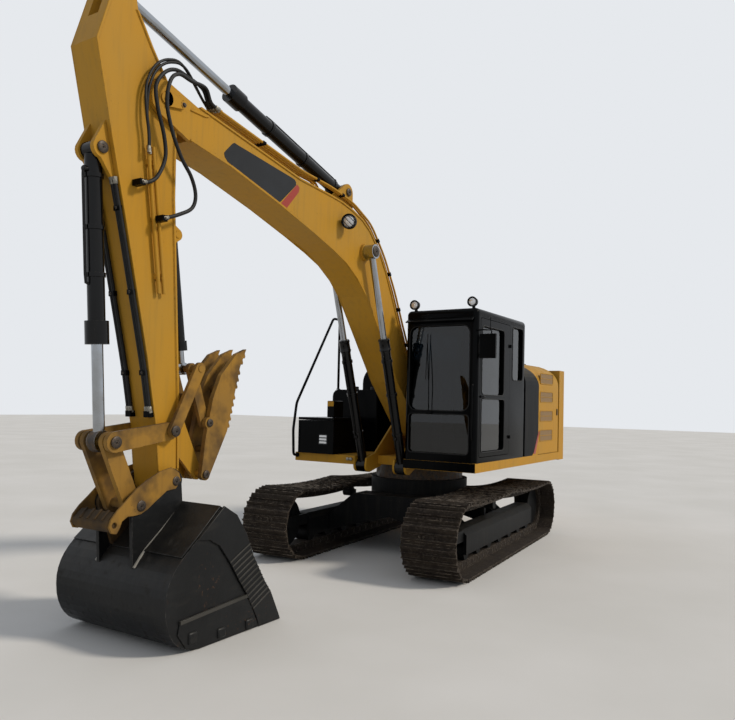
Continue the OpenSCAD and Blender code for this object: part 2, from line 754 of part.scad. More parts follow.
module stick_pipes() {
    color(steel) in_stick() for (z = [60, 110]) {
        tube([[400, stick_w / 2 + pipe_up, z + 60], [1500, stick_w / 2 + pipe_up, z - 20]], pipe_r);
        for (x = [500, 1350]) translate([x, stick_w / 2, z + 60 - (x - 400) * 80 / 1100 - 18]) cube([40, pipe_up + 6, 32]);
    }
}

stick_base_world = boom_to_world(stick_base_p);
stick_rod_world = stick_to_world(stick_cyl_p);
module stick_barrel() {
    color(black) along(stick_base_world, stick_rod_world) barrel(68, 1810, 85, 2 * base_plate_y - base_plate_t - 12, pin_r, 85, 150, 42);
}

module stick_rod() {
    color(chrome) along(stick_rod_world, stick_rod_world * 2 - stick_base_world) rod(42, 1815, 78, 100);
}

bucket_base_world = stick_to_world(bucket_base_p);
link_rod_world = stick_to_world(link_rod_p);
module bucket_barrel() {
    color(black) along(bucket_base_world, link_rod_world) barrel(62, 1400, 60, 2 * head_y - head_t - 10, pin_r, 85, 170, 42);
}

module bucket_rod() {
    color(chrome) along(link_rod_world, link_rod_world * 2 - bucket_base_world) rod(42, 1610, 78, 90);
}

module idler_links() {
    color(yellow) in_stick() both() {
        difference() {
            translate([0, idler_y, 0]) slab(link_t) hull() {
                translate(idler_p) circle(r = 68);
                translate(link_rod_p) circle(r = 75);
            }
            cross(idler_p, pin_r + bore_gap, stick_w * 3);
        }
        cross(link_rod_p, pin_r, 140, 50 + 70);
    }
}

link_world = bucket_p + link_p;
power_y = 105;
power_t = 44;
module power_link() {
    color(yellow) {
        both() difference() {
            translate([0, power_y, 0]) slab(power_t) hull() {
                translate(link_rod_world) circle(r = 72);
                translate(link_world) circle(r = 72);
            }
            cross(link_rod_world, pin_r + bore_gap, stick_w * 2);
        }
        cross(link_world, pin_r, 2 * power_y + power_t - 2);
    }
}

// Bucket

bucket_back = concat([bucket_lip, [129, -372], [285, -500]],
    bend([285, -500], [440, -640], [432, -820], 6),
    bend([425, -900], [370, bucket_floor + 10], [100, bucket_floor], 8));
bucket_tip = [-817, bucket_floor];
bucket_outer = concat(bucket_back, [bucket_tip]);
// Along the mouth from the lip to the edge, and from the mouth's line into the bucket
mouth_way = (bucket_tip - bucket_lip) / norm(bucket_tip - bucket_lip);
mouth_in = [-mouth_way[1], mouth_way[0]] * (bucket_shell_t + 2);
module bucket() {
    color(black) in_bucket() {
        slab(bucket_w - 2) difference() {
            polygon(bucket_outer);
            offset(delta = -bucket_shell_t) polygon(bucket_outer);
            polygon([bucket_lip + mouth_in - mouth_way * 40, bucket_tip + mouth_in + mouth_way * 60,
                bucket_tip - mouth_in * 9 + mouth_way * 60, bucket_lip - mouth_in * 9 - mouth_way * 40]);
        }
        both() translate([0, bucket_w / 2 - bucket_side_t / 2, 0]) slab(bucket_side_t)
            polygon(bucket_outer);
        both() difference() {
            translate([0, ear_y, 0]) slab(ear_t) polygon(concat([[-90, -190], [125, -376], [281, -505], [378, -616]],
                arc(link_p, 80, -30, 60, 6), arc([0, 0], 78, 60, 200, 8)));
            cross([0, 0], pin_r + bore_gap, stick_w * 3);
            cross(link_p, pin_r + bore_gap, stick_w * 3);
        }
    }
}

coupler_y = stick_w / 2 + coupler_gap + coupler_t / 2;
ear_y = coupler_y + coupler_t / 2 + 1 + ear_t / 2;
module coupler() {
    color(yellow) in_bucket() {
        both() {
            translate([0, coupler_y, 0]) slab(coupler_t)
                polygon(concat([[-60, -196], [129, -360], [285, -488]], arc(link_p, 90, -60, 60, 8), arc([0, 0], 95, 60, 200, 8)));
            cross(link_p, pin_r, ear_y + ear_t / 2 + 8 - coupler_y, (ear_y + ear_t / 2 + 8 + coupler_y) / 2);
        }
        cross([0, 0], pin_r, 2 * ear_y + ear_t + 16);
    }
}

// Thumb

thumb_hub_world = stick_to_world(thumb_hub_p);
module in_thumb() {
    translate([thumb_hub_world[0], 0, thumb_hub_world[1]]) children();
}
thumb_lug = [-30, 420];
thumb_outline = concat(arc([0, 0], thumb_hub_r, 190, 350, 8), [[10, 300], [-60, 620], [-150, 820], [-330, 1010],
    [-455, 1060], [-380, 900], [-330, 700], [-240, 350]]);
module thumb() {
    color(yellow) in_thumb() {
        difference() {
            union() {
                for (y = [-1, 0, 1]) translate([0, y * tine_y, 0]) slab(tine_t) polygon(thumb_outline);
                both() cross(thumb_lug, 48, tine_t, tine_y);
                cross([-215, 700], 35, thumb_w - tine_t);
                cross([-60, 200], 30, thumb_w - tine_t);
            }
            cross([0, 0], thumb_pin_r + bore_gap, thumb_w + 2);
        }
        both() cross(thumb_lug, 28, tine_t + 12, tine_y);
    }
}

thumb_link_world = stick_to_world(thumb_link_p);
thumb_base_world = stick_to_world(thumb_base_p);
idler_world = stick_to_world(idler_p);
module thumb_links() {
    color(yellow) both() {
        difference() {
            translate([0, thumb_link_y, 0]) slab(thumb_link_t) hull() {
                translate(idler_world) circle(r = 50);
                translate(thumb_link_world) circle(r = 50);
            }
            cross(idler_world, pin_r + bore_gap, 600);
        }
        cross(thumb_link_world, 28, thumb_link_y + thumb_link_t / 2 + 6 - 45, (thumb_link_y + thumb_link_t / 2 + 6 + 45) / 2);
    }
}

push_y = 107;
push_t = 34;
lug_world = thumb_hub_world + thumb_lug;
module thumb_push_link() {
    color(yellow) {
        both() difference() {
            translate([0, push_y, 0]) slab(push_t) hull() {
                translate(lug_world) circle(r = 46);
                translate(thumb_link_world) circle(r = 46);
            }
            cross(thumb_link_world, 28 + bore_gap, 600);
        }
        cross((thumb_link_world + lug_world) / 2, 22, 2 * push_y);
    }
}

module thumb_barrel() {
    color(black) along(thumb_base_world, thumb_link_world) barrel(45, 930, 50, 2 * thumb_head_y - thumb_head_t - 10, 28, 58, 80, 28);
}

module thumb_rod() {
    color(chrome) along(thumb_link_world, thumb_link_world * 2 - thumb_base_world) rod(28, 980, 50, 70);
}

car_body();
track_frames();
swing_bearing();
track(1);  // track_left
track(-1);  // track_right
idlers();
sprockets();
track_rollers();
main_frame();
counterweight();
engine_block();
engine_hood();
side_panels();
service_door_left();
service_door_right();
tanks();
tool_box();
tool_box_lid();
handrails();
mirror_arm();  // mirror
cab_shell();
cab_glass();
cab_door();
door_glass();
operator_seat();
control_consoles();
cab_lamps();
boom();
boom_pipes();
boom_lamp();
boom_barrels();
boom_rods();
stick();
stick_pipes();
stick_barrel();
stick_rod();
bucket_barrel();
bucket_rod();
idler_links();
power_link();
bucket();
coupler();
thumb();
thumb_links();
thumb_push_link();
thumb_barrel();
thumb_rod();
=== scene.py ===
import math

import bmesh
import bpy
from mathutils import Matrix, Vector


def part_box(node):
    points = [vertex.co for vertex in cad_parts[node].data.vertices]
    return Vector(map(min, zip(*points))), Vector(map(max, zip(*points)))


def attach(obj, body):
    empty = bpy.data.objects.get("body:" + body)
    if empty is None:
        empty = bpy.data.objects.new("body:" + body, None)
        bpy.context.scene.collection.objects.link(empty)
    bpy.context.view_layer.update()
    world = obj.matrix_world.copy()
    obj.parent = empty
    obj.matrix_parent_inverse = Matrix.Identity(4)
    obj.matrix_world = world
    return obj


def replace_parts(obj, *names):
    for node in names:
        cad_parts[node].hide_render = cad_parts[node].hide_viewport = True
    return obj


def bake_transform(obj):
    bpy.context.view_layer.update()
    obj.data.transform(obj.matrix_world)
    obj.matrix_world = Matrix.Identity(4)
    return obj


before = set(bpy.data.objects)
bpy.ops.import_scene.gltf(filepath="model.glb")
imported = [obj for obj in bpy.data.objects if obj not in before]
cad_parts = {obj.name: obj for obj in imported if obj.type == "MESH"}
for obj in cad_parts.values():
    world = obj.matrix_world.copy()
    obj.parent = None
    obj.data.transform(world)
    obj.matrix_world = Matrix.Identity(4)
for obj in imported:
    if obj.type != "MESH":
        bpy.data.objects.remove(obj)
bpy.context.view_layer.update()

# Nodes and colours


def linear(code):
    """An sRGB hex colour as the linear RGBA that the shaders take."""
    parts = [int(code[i:i + 2], 16) / 255 for i in (1, 3, 5)]
    return [c / 12.92 if c <= 0.04045 else ((c + 0.055) / 1.055) ** 2.4 for c in parts] + [1.0]


def add(tree, kind, inputs={}, **settings):
    """A new shader node; each input takes a plain value, another node's output, or another node, which
    stands for its first output."""
    made = tree.nodes.new("ShaderNode" + kind)
    for name, value in settings.items():
        setattr(made, name, value)
    for name, value in inputs.items():
        if isinstance(value, bpy.types.Node):
            value = value.outputs[0]
        if isinstance(value, bpy.types.NodeSocket):
            tree.links.new(value, made.inputs[name])
        else:
            made.inputs[name].default_value = value
    return made


def surface(name):
    """A material with an empty tree, and the place on the piece that its patterns follow."""
    material = bpy.data.materials.new(name)
    material.use_nodes = True
    tree = material.node_tree
    tree.nodes.clear()
    return material, tree, add(tree, "TexCoord")


def shaded(material, tree, inputs):
    """The material, closed with one shader that takes these inputs."""
    add(tree, "OutputMaterial", {"Surface": add(tree, "BsdfPrincipled", inputs)})
    return material


def clouds(tree, at, size_mm, low, high, detail=4.0):
    """Cloudy patches of that size, from 0 to 1."""
    noise = add(tree, "TexNoise", {"Vector": at, "Scale": 1000 / size_mm, "Detail": detail})
    return add(tree, "MapRange", {"Value": noise, "From Min": low, "From Max": high})


def coated(tree, under, mask, colour, share=1.0):
    """The colour under, covered where the mask is 1 by that share, which may be a second mask."""
    cover = add(tree, "Math", {0: mask, 1: share}, operation="MULTIPLY")
    under = linear(under) if isinstance(under, str) else under
    return add(tree, "MixRGB", {"Fac": cover, "Color1": under, "Color2": linear(colour)})


def worn_edges(tree, radius_mm, low, high):
    """1 along outer and inner edges within that radius, 0 on open faces."""
    soft = add(tree, "Bevel", {"Radius": radius_mm / 1000}, samples=4)
    face = add(tree, "NewGeometry").outputs["True Normal"]
    same = add(tree, "VectorMath", {0: soft, 1: face}, operation="DOT_PRODUCT").outputs["Value"]
    return add(tree, "MapRange", {"Value": same, "From Min": 1 - low, "From Max": 1 - high})


def lying_dust(tree, place, patch_mm, low, high, share):
    """Dust on faces that look up, broken into patches, up to that share of a full cover."""
    up = add(tree, "SeparateXYZ", {"Vector": place.outputs["Normal"]}).outputs["Z"]
    tops = add(tree, "MapRange", {"Value": up, "From Min": 0.15, "From Max": 0.95, "To Max": share})
    patches = clouds(tree, place.outputs["Object"], patch_mm, low, high)
    return add(tree, "Math", {0: tops, 1: patches}, operation="MULTIPLY")


def streaks(tree, at):
    """Where rain has carried dust down a wall, in runs of about 45 mm across."""
    drawn = add(tree, "Mapping", {"Vector": at, "Scale": (1, 1, 0.09)})
    return clouds(tree, drawn, 45, 0.5, 0.82)


def relief(tree, at, size_mm, depth_mm, detail=4.0):
    """An uneven face, in cloudy hollows of that size and depth."""
    height = clouds(tree, at, size_mm, 0.3, 0.7, detail)
    return add(tree, "Bump", {"Height": height, "Distance": depth_mm / 1000})


# Finishes


def enamel(name, paint, faded, dust, chip, rough, dirt, shine):
    """Sprayed enamel on steel: faded in broad patches, with dust that runs down in streaks, soil that
    cakes in patches, dust that lies on top, and chips along the edges that show primer and rust."""
    material, tree, place = surface(name)
    at = place.outputs["Object"]
    lying = lying_dust(tree, place, 120, 0.25, 0.75, min(1, dirt * 1.3))
    caked = clouds(tree, at, 210, 0.42, 0.62, 6.0)
    nicks = clouds(tree, at, 9, 0.69, 0.74, 2.0)
    colour = coated(tree, paint, clouds(tree, at, 700, 0.4, 0.7), faded)
    colour = coated(tree, colour, streaks(tree, at), dust, min(dirt, 0.3))
    colour = coated(tree, colour, caked, dust, max(0, dirt - 0.45) * 1.3)
    colour = coated(tree, colour, lying, dust)
    colour = coated(tree, colour, worn_edges(tree, 7, 0.05, 0.22), chip, clouds(tree, at, 28, 0.48, 0.62))
    colour = coated(tree, colour, nicks, chip, clouds(tree, at, 260, 0.5, 0.62))
    return shaded(material, tree, {
        "Base Color": colour,
        "Roughness": add(tree, "MapRange", {"Value": lying, "To Min": rough, "To Max": 0.9}),
        "Normal": relief(tree, at, 320, 0.8, 2.0),
        "Specular IOR Level": shine,
    })


YELLOW = "#B78627"
LINE_WAIST, LINE_BACK, LINE_BOWS = 1.79, 1.07, (1.70, 2.47)


def yellow_enamel():
    """Machine enamel, ochre yellow, bleached and dusty; the eye sees a satin face with dull tops."""
    return enamel("yellow_enamel", YELLOW, "#B08532", "#7E6739", "#2E2116", 0.5, 0.42, 0.12)


def worked_enamel():
    """The same yellow on links, hooks and thumb: scoured, with baked-on soil and grease."""
    return enamel("worked_enamel", "#9C7430", "#86683A", "#43362A", "#1E1710", 0.6, 1.0, 0.12)


def darkened_enamel():
    """The coupler's enamel: the yellow darkened to a dull brown."""
    return enamel("darkened_enamel", "#5F4725", "#4C3B24", "#2A2520", "#1A1511", 0.62, 1.0, 0.14)


def black_enamel():
    """Cab and panel enamel, black, half gloss, under a thin grey dust."""
    return enamel("black_enamel", "#050607", "#08090B", "#2A2824", "#2E2B28", 0.2, 0.08, 0.05)


def side_enamel():
    """The side panels: black, with the machine's yellow behind a line that curves forward below and
    above its waist, with the fourth power of the height."""
    material, tree, place = surface("side_enamel")
    at = place.outputs["Object"]
    axes = add(tree, "SeparateXYZ", {"Vector": at})
    up = add(tree, "Math", {0: axes.outputs["Z"], 1: LINE_WAIST}, operation="SUBTRACT")
    above = add(tree, "Math", {0: up, 1: 0.0}, operation="GREATER_THAN")
    bow = add(tree, "MapRange", {"Value": above, "To Min": LINE_BOWS[0], "To Max": LINE_BOWS[1]})
    away = add(tree, "Math", {0: up}, operation="ABSOLUTE")
    rise = add(tree, "Math", {0: away, 1: 4.0}, operation="POWER")
    line = add(tree, "Math", {0: rise, 1: bow, 2: -LINE_BACK}, operation="MULTIPLY_ADD")
    behind = add(tree, "Math", {0: axes.outputs["X"], 1: line}, operation="LESS_THAN")
    lying = lying_dust(tree, place, 120, 0.25, 0.75, 0.5)
    tone = coated(tree, "#08090B", clouds(tree, at, 500, 0.4, 0.7), "#0F1113")
    tone = coated(tree, tone, behind, YELLOW)
    tone = coated(tree, tone, streaks(tree, at), "#5E533E", 0.12)
    return shaded(material, tree, {
        "Base Color": coated(tree, tone, lying, "#6E6249"),
        "Roughness": add(tree, "MapRange", {"Value": lying, "To Min": 0.4, "To Max": 0.85}),
        "Specular IOR Level": 0.05,
        "Normal": relief(tree, at, 320, 0.8, 2.0),
    })


def vent_mesh():
    """Expanded metal behind the vents, yellow, with openings of 9 mm painted dark brown as the shade behind
    them.
    """
    material, tree, place = surface("vent_mesh")
    at = place.outputs["Object"]
    cells = add(tree, "TexVoronoi", {"Vector": at, "Scale": 1000 / 9, "Randomness": 0.15})
    holes = add(tree, "MapRange", {"Value": cells.outputs["Distance"], "From Min": 0.30, "From Max": 0.42,
                                   "To Min": 1.0, "To Max": 0.0})
    return shaded(material, tree, {
        # painted shade: the openings take dark brown for the shaded space behind the mesh
        "Base Color": coated(tree, "#82653A", holes, "#1E1810"),
        "Roughness": 0.6,
        "Normal": add(tree, "Bump", {"Height": holes, "Distance": -0.002}),
    })


def bucket_enamel():
    """Black paint on plate that digs: scuffed grey all over, with rust where the steel lies bare."""
    material, tree, place = surface("bucket_enamel")
    at = place.outputs["Object"]
    scuffs = clouds(tree, add(tree, "Mapping", {"Vector": at, "Scale": (0.35, 1, 1)}), 60, 0.56, 0.8)
    rust = clouds(tree, at, 26, 0.62, 0.7)
    colour = coated(tree, "#08090A", clouds(tree, at, 420, 0.42, 0.68), "#121314")
    colour = coated(tree, colour, scuffs, "#34312D", 0.35)
    colour = coated(tree, colour, lying_dust(tree, place, 160, 0.3, 0.75, 0.55), "#3F3A32")
    colour = coated(tree, colour, worn_edges(tree, 9, 0.05, 0.25), "#4C4946", clouds(tree, at, 35, 0.4, 0.6))
    return shaded(material, tree, {
        "Base Color": coated(tree, colour, rust, "#3E2A1C", clouds(tree, at, 380, 0.54, 0.66)),
        "Specular IOR Level": 0.25,
        "Roughness": add(tree, "MapRange", {"Value": scuffs, "To Min": 0.42, "To Max": 0.8}),
        "Normal": relief(tree, at, 90, 1.2),
    })


def track_steel():
    """Forged shoe steel that runs in dirt: dried brown soil, with bare bright steel on the tips."""
    material, tree, place = surface("track_steel")
    at = place.outputs["Object"]
    bare = add(tree, "Math", {0: worn_edges(tree, 10, 0.08, 0.3), 1: clouds(tree, at, 60, 0.4, 0.6)},
               operation="MULTIPLY")
    colour = coated(tree, "#211A15", clouds(tree, at, 150, 0.35, 0.65), "#302820")
    colour = coated(tree, colour, clouds(tree, at, 22, 0.5, 0.75), "#443D35")
    return shaded(material, tree, {
        "Base Color": coated(tree, colour, bare, "#8F8375"),
        "Specular IOR Level": 0.25,
        "Metallic": add(tree, "MapRange", {"Value": bare, "To Min": 0.1, "To Max": 0.9}),
        "Roughness": add(tree, "MapRange", {"Value": bare, "To Min": 0.86, "To Max": 0.38}),
        "Normal": relief(tree, at, 12, 1.5),
    })


def frame_enamel():
    """Undercarriage paint, dark grey under caked dust."""
    return enamel("frame_enamel", "#0C0D0E", "#131415", "#36322B", "#3B332B", 0.5, 0.36, 0.1)


def greased_steel():
    """Cast steel round pins and links, brown with old grease and grit."""
    material, tree, place = surface("greased_steel")
    at = place.outputs["Object"]
    grit = clouds(tree, at, 45, 0.4, 0.65)
    colour = coated(tree, "#2A211A", grit, "#5B4A38")
    return shaded(material, tree, {
        "Base Color": coated(tree, colour, worn_edges(tree, 6, 0.1, 0.3), "#8C8378", 0.6),
        "Metallic": 0.35,
        "Roughness": add(tree, "MapRange", {"Value": grit, "To Min": 0.4, "To Max": 0.8}),
        "Normal": relief(tree, at, 14, 1.0),
    })


def chrome_plate():
    """Ground and chromed rod: a mirror that wavers a little from grinding, under a thin film of dust."""
    material, tree, place = surface("chrome_plate")
    at = place.outputs["Object"]
    dust = clouds(tree, at, 130, 0.45, 0.8)
    return shaded(material, tree, {
        "Base Color": coated(tree, "#A4A8AD", dust, "#7C776E", 0.5),
        "Metallic": 1.0,
        "Roughness": add(tree, "MapRange", {"Value": dust, "To Min": 0.12, "To Max": 0.35}),
        "Normal": add(tree, "Bump", {"Height": clouds(tree, at, 6, 0.4, 0.6), "Distance": 0.00005}),
    })


def barrel_enamel():
    """Cylinder barrels, gloss black over drawn tube."""
    return enamel("barrel_enamel", "#050506", "#0A0B0C", "#2C2924", "#4A4641", 0.22, 0.12, 0.25)


def safety_glass():
    """Toughened window glass, tinted dark blue-grey, with a thin dust film that dulls it."""
    material, tree, place = surface("safety_glass")
    dust = clouds(tree, place.outputs["Object"], 240, 0.4, 0.75)
    return shaded(material, tree, {
        "Base Color": coated(tree, "#2E3941", dust, "#3A464D"),
        "Specular IOR Level": 0.06,
        "Roughness": 0.0,
        "IOR": 1.5,
        "Transmission Weight": 1.0,
    })


def hose_rubber():
    """Hydraulic hose: dull black rubber, a little uneven over its wrapping."""
    material, tree, place = surface("hose_rubber")
    at = place.outputs["Object"]
    return shaded(material, tree, {
        "Base Color": coated(tree, "#0A0A0B", clouds(tree, at, 90, 0.45, 0.75), "#1C1B19"),
        "Specular IOR Level": 0.3,
        "Roughness": 0.55,
        "Normal": relief(tree, at, 5, 0.4),
    })


def moulded_plastic():
    """Grained ABS of the cab's trim, dark grey."""
    material, tree, place = surface("moulded_plastic")
    at = place.outputs["Object"]
    return shaded(material, tree, {
        "Base Color": coated(tree, "#141518", clouds(tree, at, 60, 0.45, 0.7), "#1E2023"),
        "Specular IOR Level": 0.25,
        "Roughness": 0.62,
        "Normal": relief(tree, at, 4, 0.3),
    })


def seat_cloth():
    """Woven seat cloth, charcoal, with threads of about 2 mm drawn at 5 mm so that they show."""
    material, tree, place = surface("seat_cloth")
    weave = add(tree, "TexWave", {"Vector": place.outputs["Object"], "Scale": 1000 / 5 / 6.28,
                                  "Distortion": 0.4}, bands_direction="DIAGONAL")
    return shaded(material, tree, {
        "Base Color": coated(tree, "#222327", weave, "#3A3B40"),
        "Roughness": 0.9,
        "Sheen Weight": 0.3,
        "Normal": add(tree, "Bump", {"Height": weave, "Distance": 0.0006}),
    })


def film(name, colour, faded):
    """A thin even layer, such as cast vinyl film: smooth, half gloss, a little faded and dusty."""
    material, tree, place = surface(name)
    at = place.outputs["Object"]
    dull = clouds(tree, at, 90, 0.3, 0.7)
    return shaded(material, tree, {
        "Base Color": coated(tree, colour, clouds(tree, at, 240, 0.45, 0.8), faded),
        "Specular IOR Level": 0.3,
        "Roughness": add(tree, "MapRange", {"Value": dull, "To Min": 0.28, "To Max": 0.4}),
        "Normal": relief(tree, at, 140, 0.4, 2.0),
    })


def zinc_plate():
    """Hose fittings, zinc plated and passivated: dull grey with a warm cast."""
    material, tree, place = surface("zinc_plate")
    at = place.outputs["Object"]
    dull = clouds(tree, at, 20, 0.3, 0.7)
    return shaded(material, tree, {
        "Base Color": coated(tree, "#8D8A80", clouds(tree, at, 12, 0.45, 0.7), "#6B6457"),
        "Metallic": 0.85,
        "Roughness": add(tree, "MapRange", {"Value": dull, "To Min": 0.32, "To Max": 0.55}),
        "Normal": relief(tree, at, 5, 0.2),
    })


def bolt_blued():
    """Bolts and pins of hardened steel, dark, with bright corners."""
    material, tree, place = surface("bolt_steel")
    at = place.outputs["Object"]
    dull = clouds(tree, at, 14, 0.3, 0.7)
    tone = coated(tree, "#3B3733", clouds(tree, at, 10, 0.45, 0.7), "#5C4B3B")
    return shaded(material, tree, {
        "Base Color": coated(tree, tone, worn_edges(tree, 2, 0.1, 0.3), "#9A958C"),
        "Metallic": 0.6,
        "Roughness": add(tree, "MapRange", {"Value": dull, "To Min": 0.4, "To Max": 0.65}),
        "Normal": relief(tree, at, 4, 0.3),
    })


def dug_steel():
    """The bucket's cutting edge: bare steel, scratched grey, with soil in the hollows."""
    material, tree, place = surface("dug_steel")
    drawn = add(tree, "Mapping", {"Vector": place.outputs["Object"], "Scale": (0.2, 1, 1)})
    scratches = clouds(tree, drawn, 14, 0.4, 0.7)
    tone = coated(tree, "#34302C", scratches, "#6F6B65")
    return shaded(material, tree, {
        "Base Color": coated(tree, tone, worn_edges(tree, 6, 0.06, 0.28), "#A9A49C"),
        "Metallic": add(tree, "MapRange", {"Value": scratches, "To Min": 0.3, "To Max": 0.8}),
        "Roughness": add(tree, "MapRange", {"Value": scratches, "To Min": 0.75, "To Max": 0.42}),
        "Normal": add(tree, "Bump", {"Height": scratches, "Distance": 0.0008}),
    })


def lens_painted_bright():
    """Moulded clear lens over a reflector, with ribs of 6 mm; its near-white colour, lighter on the ribs, is
    a painted reflection of the reflector's shine.
    """
    material, tree, place = surface("lens_painted_bright")
    ribs = add(tree, "TexWave", {"Vector": place.outputs["Object"], "Scale": 1000 / 6 / 6.28},
               bands_direction="Y")
    return shaded(material, tree, {
        # painted reflection: near-white base colour for the lit reflector, lighter again on the ribs
        "Base Color": coated(tree, "#D9DDE0", ribs, "#F0F1F2"),
        "Metallic": 0.35,
        "Roughness": 0.12,
        "IOR": 1.49,
        "Coat Weight": 0.6,
        "Normal": add(tree, "Bump", {"Height": ribs, "Distance": 0.0008}),
    })


def dark_screen():
    """The switched-off display: black glass over a dark blue layer."""
    material, tree, place = surface("dark_screen")
    dust = clouds(tree, place.outputs["Object"], 60, 0.5, 0.8)
    return shaded(material, tree, {
        "Base Color": coated(tree, "#10161D", dust, "#1D252C"),
        "Roughness": add(tree, "MapRange", {"Value": dust, "To Min": 0.08, "To Max": 0.3}),
    })


# Stage: camera where the photograph was taken from, floor, light

CAMERA_AT = Vector((8.389, 4.414, 1.810))
CAMERA_YAW = math.radians(212.2)
CAMERA_PITCH = math.radians(1.66)
CAMERA_ROLL = math.radians(1.28)
CAMERA_LENS = 35.23
CAMERA_SHIFT = (0.0033, 0.0306)
FLOOR_HALF, FLOOR_Z = 60, -0.0015
SUN_WAY = Vector((0.30, -0.72, -0.62))


def make_camera():
    """The photograph's viewpoint, a 35 mm lens at eye height off the left front."""
    ahead = Vector((math.cos(CAMERA_YAW) * math.cos(CAMERA_PITCH),
                    math.sin(CAMERA_YAW) * math.cos(CAMERA_PITCH), math.sin(CAMERA_PITCH)))
    level = ahead.cross(Vector((0, 0, 1))).normalized()
    upright = level.cross(ahead)
    right = level * math.cos(CAMERA_ROLL) + upright * math.sin(CAMERA_ROLL)
    up = upright * math.cos(CAMERA_ROLL) - level * math.sin(CAMERA_ROLL)
    data = bpy.data.cameras.new("camera")
    data.lens = CAMERA_LENS
    data.sensor_width = 36
    data.shift_x, data.shift_y = CAMERA_SHIFT
    data.clip_end = 200
    camera = bpy.data.objects.new("camera", data)
    bpy.context.scene.collection.objects.link(camera)
    turn = Matrix((right, up, -ahead)).transposed()
    camera.matrix_world = Matrix.Translation(CAMERA_AT) @ turn.to_4x4()
    bpy.context.scene.camera = camera


def make_floor():
    """A pale concrete-coloured floor that takes the machine's shadow."""
    mesh = bpy.data.meshes.new("floor")
    corners = [(x * FLOOR_HALF, y * FLOOR_HALF, FLOOR_Z) for x, y in ((-1, -1), (1, -1), (1, 1), (-1, 1))]
    mesh.from_pydata(corners, [], [(0, 1, 2, 3)])
    floor = bpy.data.objects.new("floor", mesh)
    bpy.context.scene.collection.objects.link(floor)
    material, tree, place = surface("floor_paint")
    at = place.outputs["Object"]
    tone = coated(tree, "#D2D0CC", clouds(tree, at, 1800, 0.35, 0.7), "#DAD8D5")
    mesh.materials.append(shaded(material, tree, {"Base Color": tone, "Roughness": 0.9}))


def make_light():
    """A soft sky and one broad key light from the side that the sun is on in the photograph."""
    scene = bpy.context.scene
    scene.view_settings.view_transform = "Standard"
    world = bpy.data.worlds.new("sky")
    scene.world = world
    world.use_nodes = True
    tree = world.node_tree
    tree.nodes.clear()
    path = add(tree, "LightPath")
    sharp = add(tree, "Math", {0: path.outputs["Is Transmission Ray"], 1: path.outputs["Is Glossy Ray"]},
                operation="MAXIMUM")
    seen = add(tree, "Math", {0: path.outputs["Is Camera Ray"], 1: sharp}, operation="MAXIMUM")
    light = add(tree, "Background", {"Color": linear("#E4EAF2"), "Strength": 0.55})
    shown = add(tree, "Background", {"Color": linear("#E6E9ED"), "Strength": 1.0})
    mixed = add(tree, "MixShader", {0: seen, 1: light, 2: shown})
    add(tree, "OutputWorld", {"Surface": mixed})
    data = bpy.data.lights.new("key", "SUN")
    data.energy = 2.0
    data.angle = math.radians(9)
    data.color = linear("#FFF6E8")[:3]
    key = bpy.data.objects.new("key", data)
    scene.collection.objects.link(key)
    key.rotation_mode = "QUATERNION"
    key.rotation_quaternion = SUN_WAY.to_track_quat("-Z", "Y")


# Where things are: millimetres on each part of the machine, turned to metres of the frame


def arm_place(at, degrees):
    """A place on a part that lies in the XZ plane: along it, across it and up from it, in mm."""
    turn = math.radians(degrees)
    along, up = Vector((math.cos(turn), 0, math.sin(turn))), Vector((-math.sin(turn), 0, math.cos(turn)))

    def place(x, y, z):
        return Vector((at[0], 0, at[1])) + (x * along + z * up) / 1000 + Vector((0, y / 1000, 0))
    return place


BOOM_FOOT = (0.2, 1.57)
BOOM_LENGTH = 5100
BOOM_ANGLE = 29.9
on_boom = arm_place(BOOM_FOOT, BOOM_ANGLE)
TIP = (on_boom(BOOM_LENGTH, 0, 0).x, on_boom(BOOM_LENGTH, 0, 0).z)
on_stick = arm_place(TIP, -93.6)
PIN = (4.4366, 1.1781)
on_bucket = arm_place(PIN, 0)
past_tip = arm_place(TIP, 0)
on_thumb = arm_place((4.0762, 1.1998), 0)
on_house = arm_place((0, 0), 0)
TRACK_TURN, TRACK_MID = math.radians(4.2), 995

# Pins of the cylinders and links, along and up in mm on the part that carries each
BOOM_ROD_PIN, STICK_BARREL_PIN = (2280, 880), (2800, 1290)
BUCKET_BARREL_PIN, LINK_PIN = (490, 530), (2592, 526)


def middle(place, pin):
    """A pin's centre, halfway across the part that carries it."""
    return place(pin[0], 0, pin[1])


# The house in mm: half its width, and the heights of the deck, the hood and the tanks
HOUSE_HALF, DECK_TOP, HOOD_TOP, TANK_TOP = 1238, 1172, 2399, 1992
SIDES = ((1, "left"), (-1, "right"))


def on_tracks(x, y, z):
    """A place in the undercarriage's own frame, in mm, turned with the tracks."""
    return Matrix.Rotation(TRACK_TURN, 4, "Z") @ Vector((x / 1000, y / 1000, z / 1000))


def span(side, near, far):
    """From near to far on the left side, 1, or the right, -1, with the lower one first."""
    return sorted((side * near, side * far))


# Mesh makers: each gives the vertices and faces of one closed form


def lofted(loops):
    """A closed skin over loops that have the same number of points."""
    n = len(loops[0])
    faces = [(i * n + k, i * n + (k + 1) % n, (i + 1) * n + (k + 1) % n, (i + 1) * n + k)
             for i in range(len(loops) - 1) for k in range(n)]
    last = (len(loops) - 1) * n
    return [p for loop in loops for p in loop], faces + [tuple(range(n))[::-1], tuple(range(last, last + n))]


def plate(outline, y0, y1, place):
    """A flat outline in the part's side view, as thick as from y0 to y1."""
    return lofted([[place(x, y, z) for x, z in outline] for y in (y0, y1)])


def strip(edge, deep, y0, y1, place):
    """A band that runs along a polygon's edge, deep mm below it."""
    return plate(list(edge) + [(x, z - deep) for x, z in reversed(edge)], y0, y1, place)


def block(low, high, place):
    """A box between two corners, given in mm in a body's own frame."""
    outline = [(low[0], low[2]), (high[0], low[2]), (high[0], high[2]), (low[0], high[2])]
    return plate(outline, low[1], high[1], place)


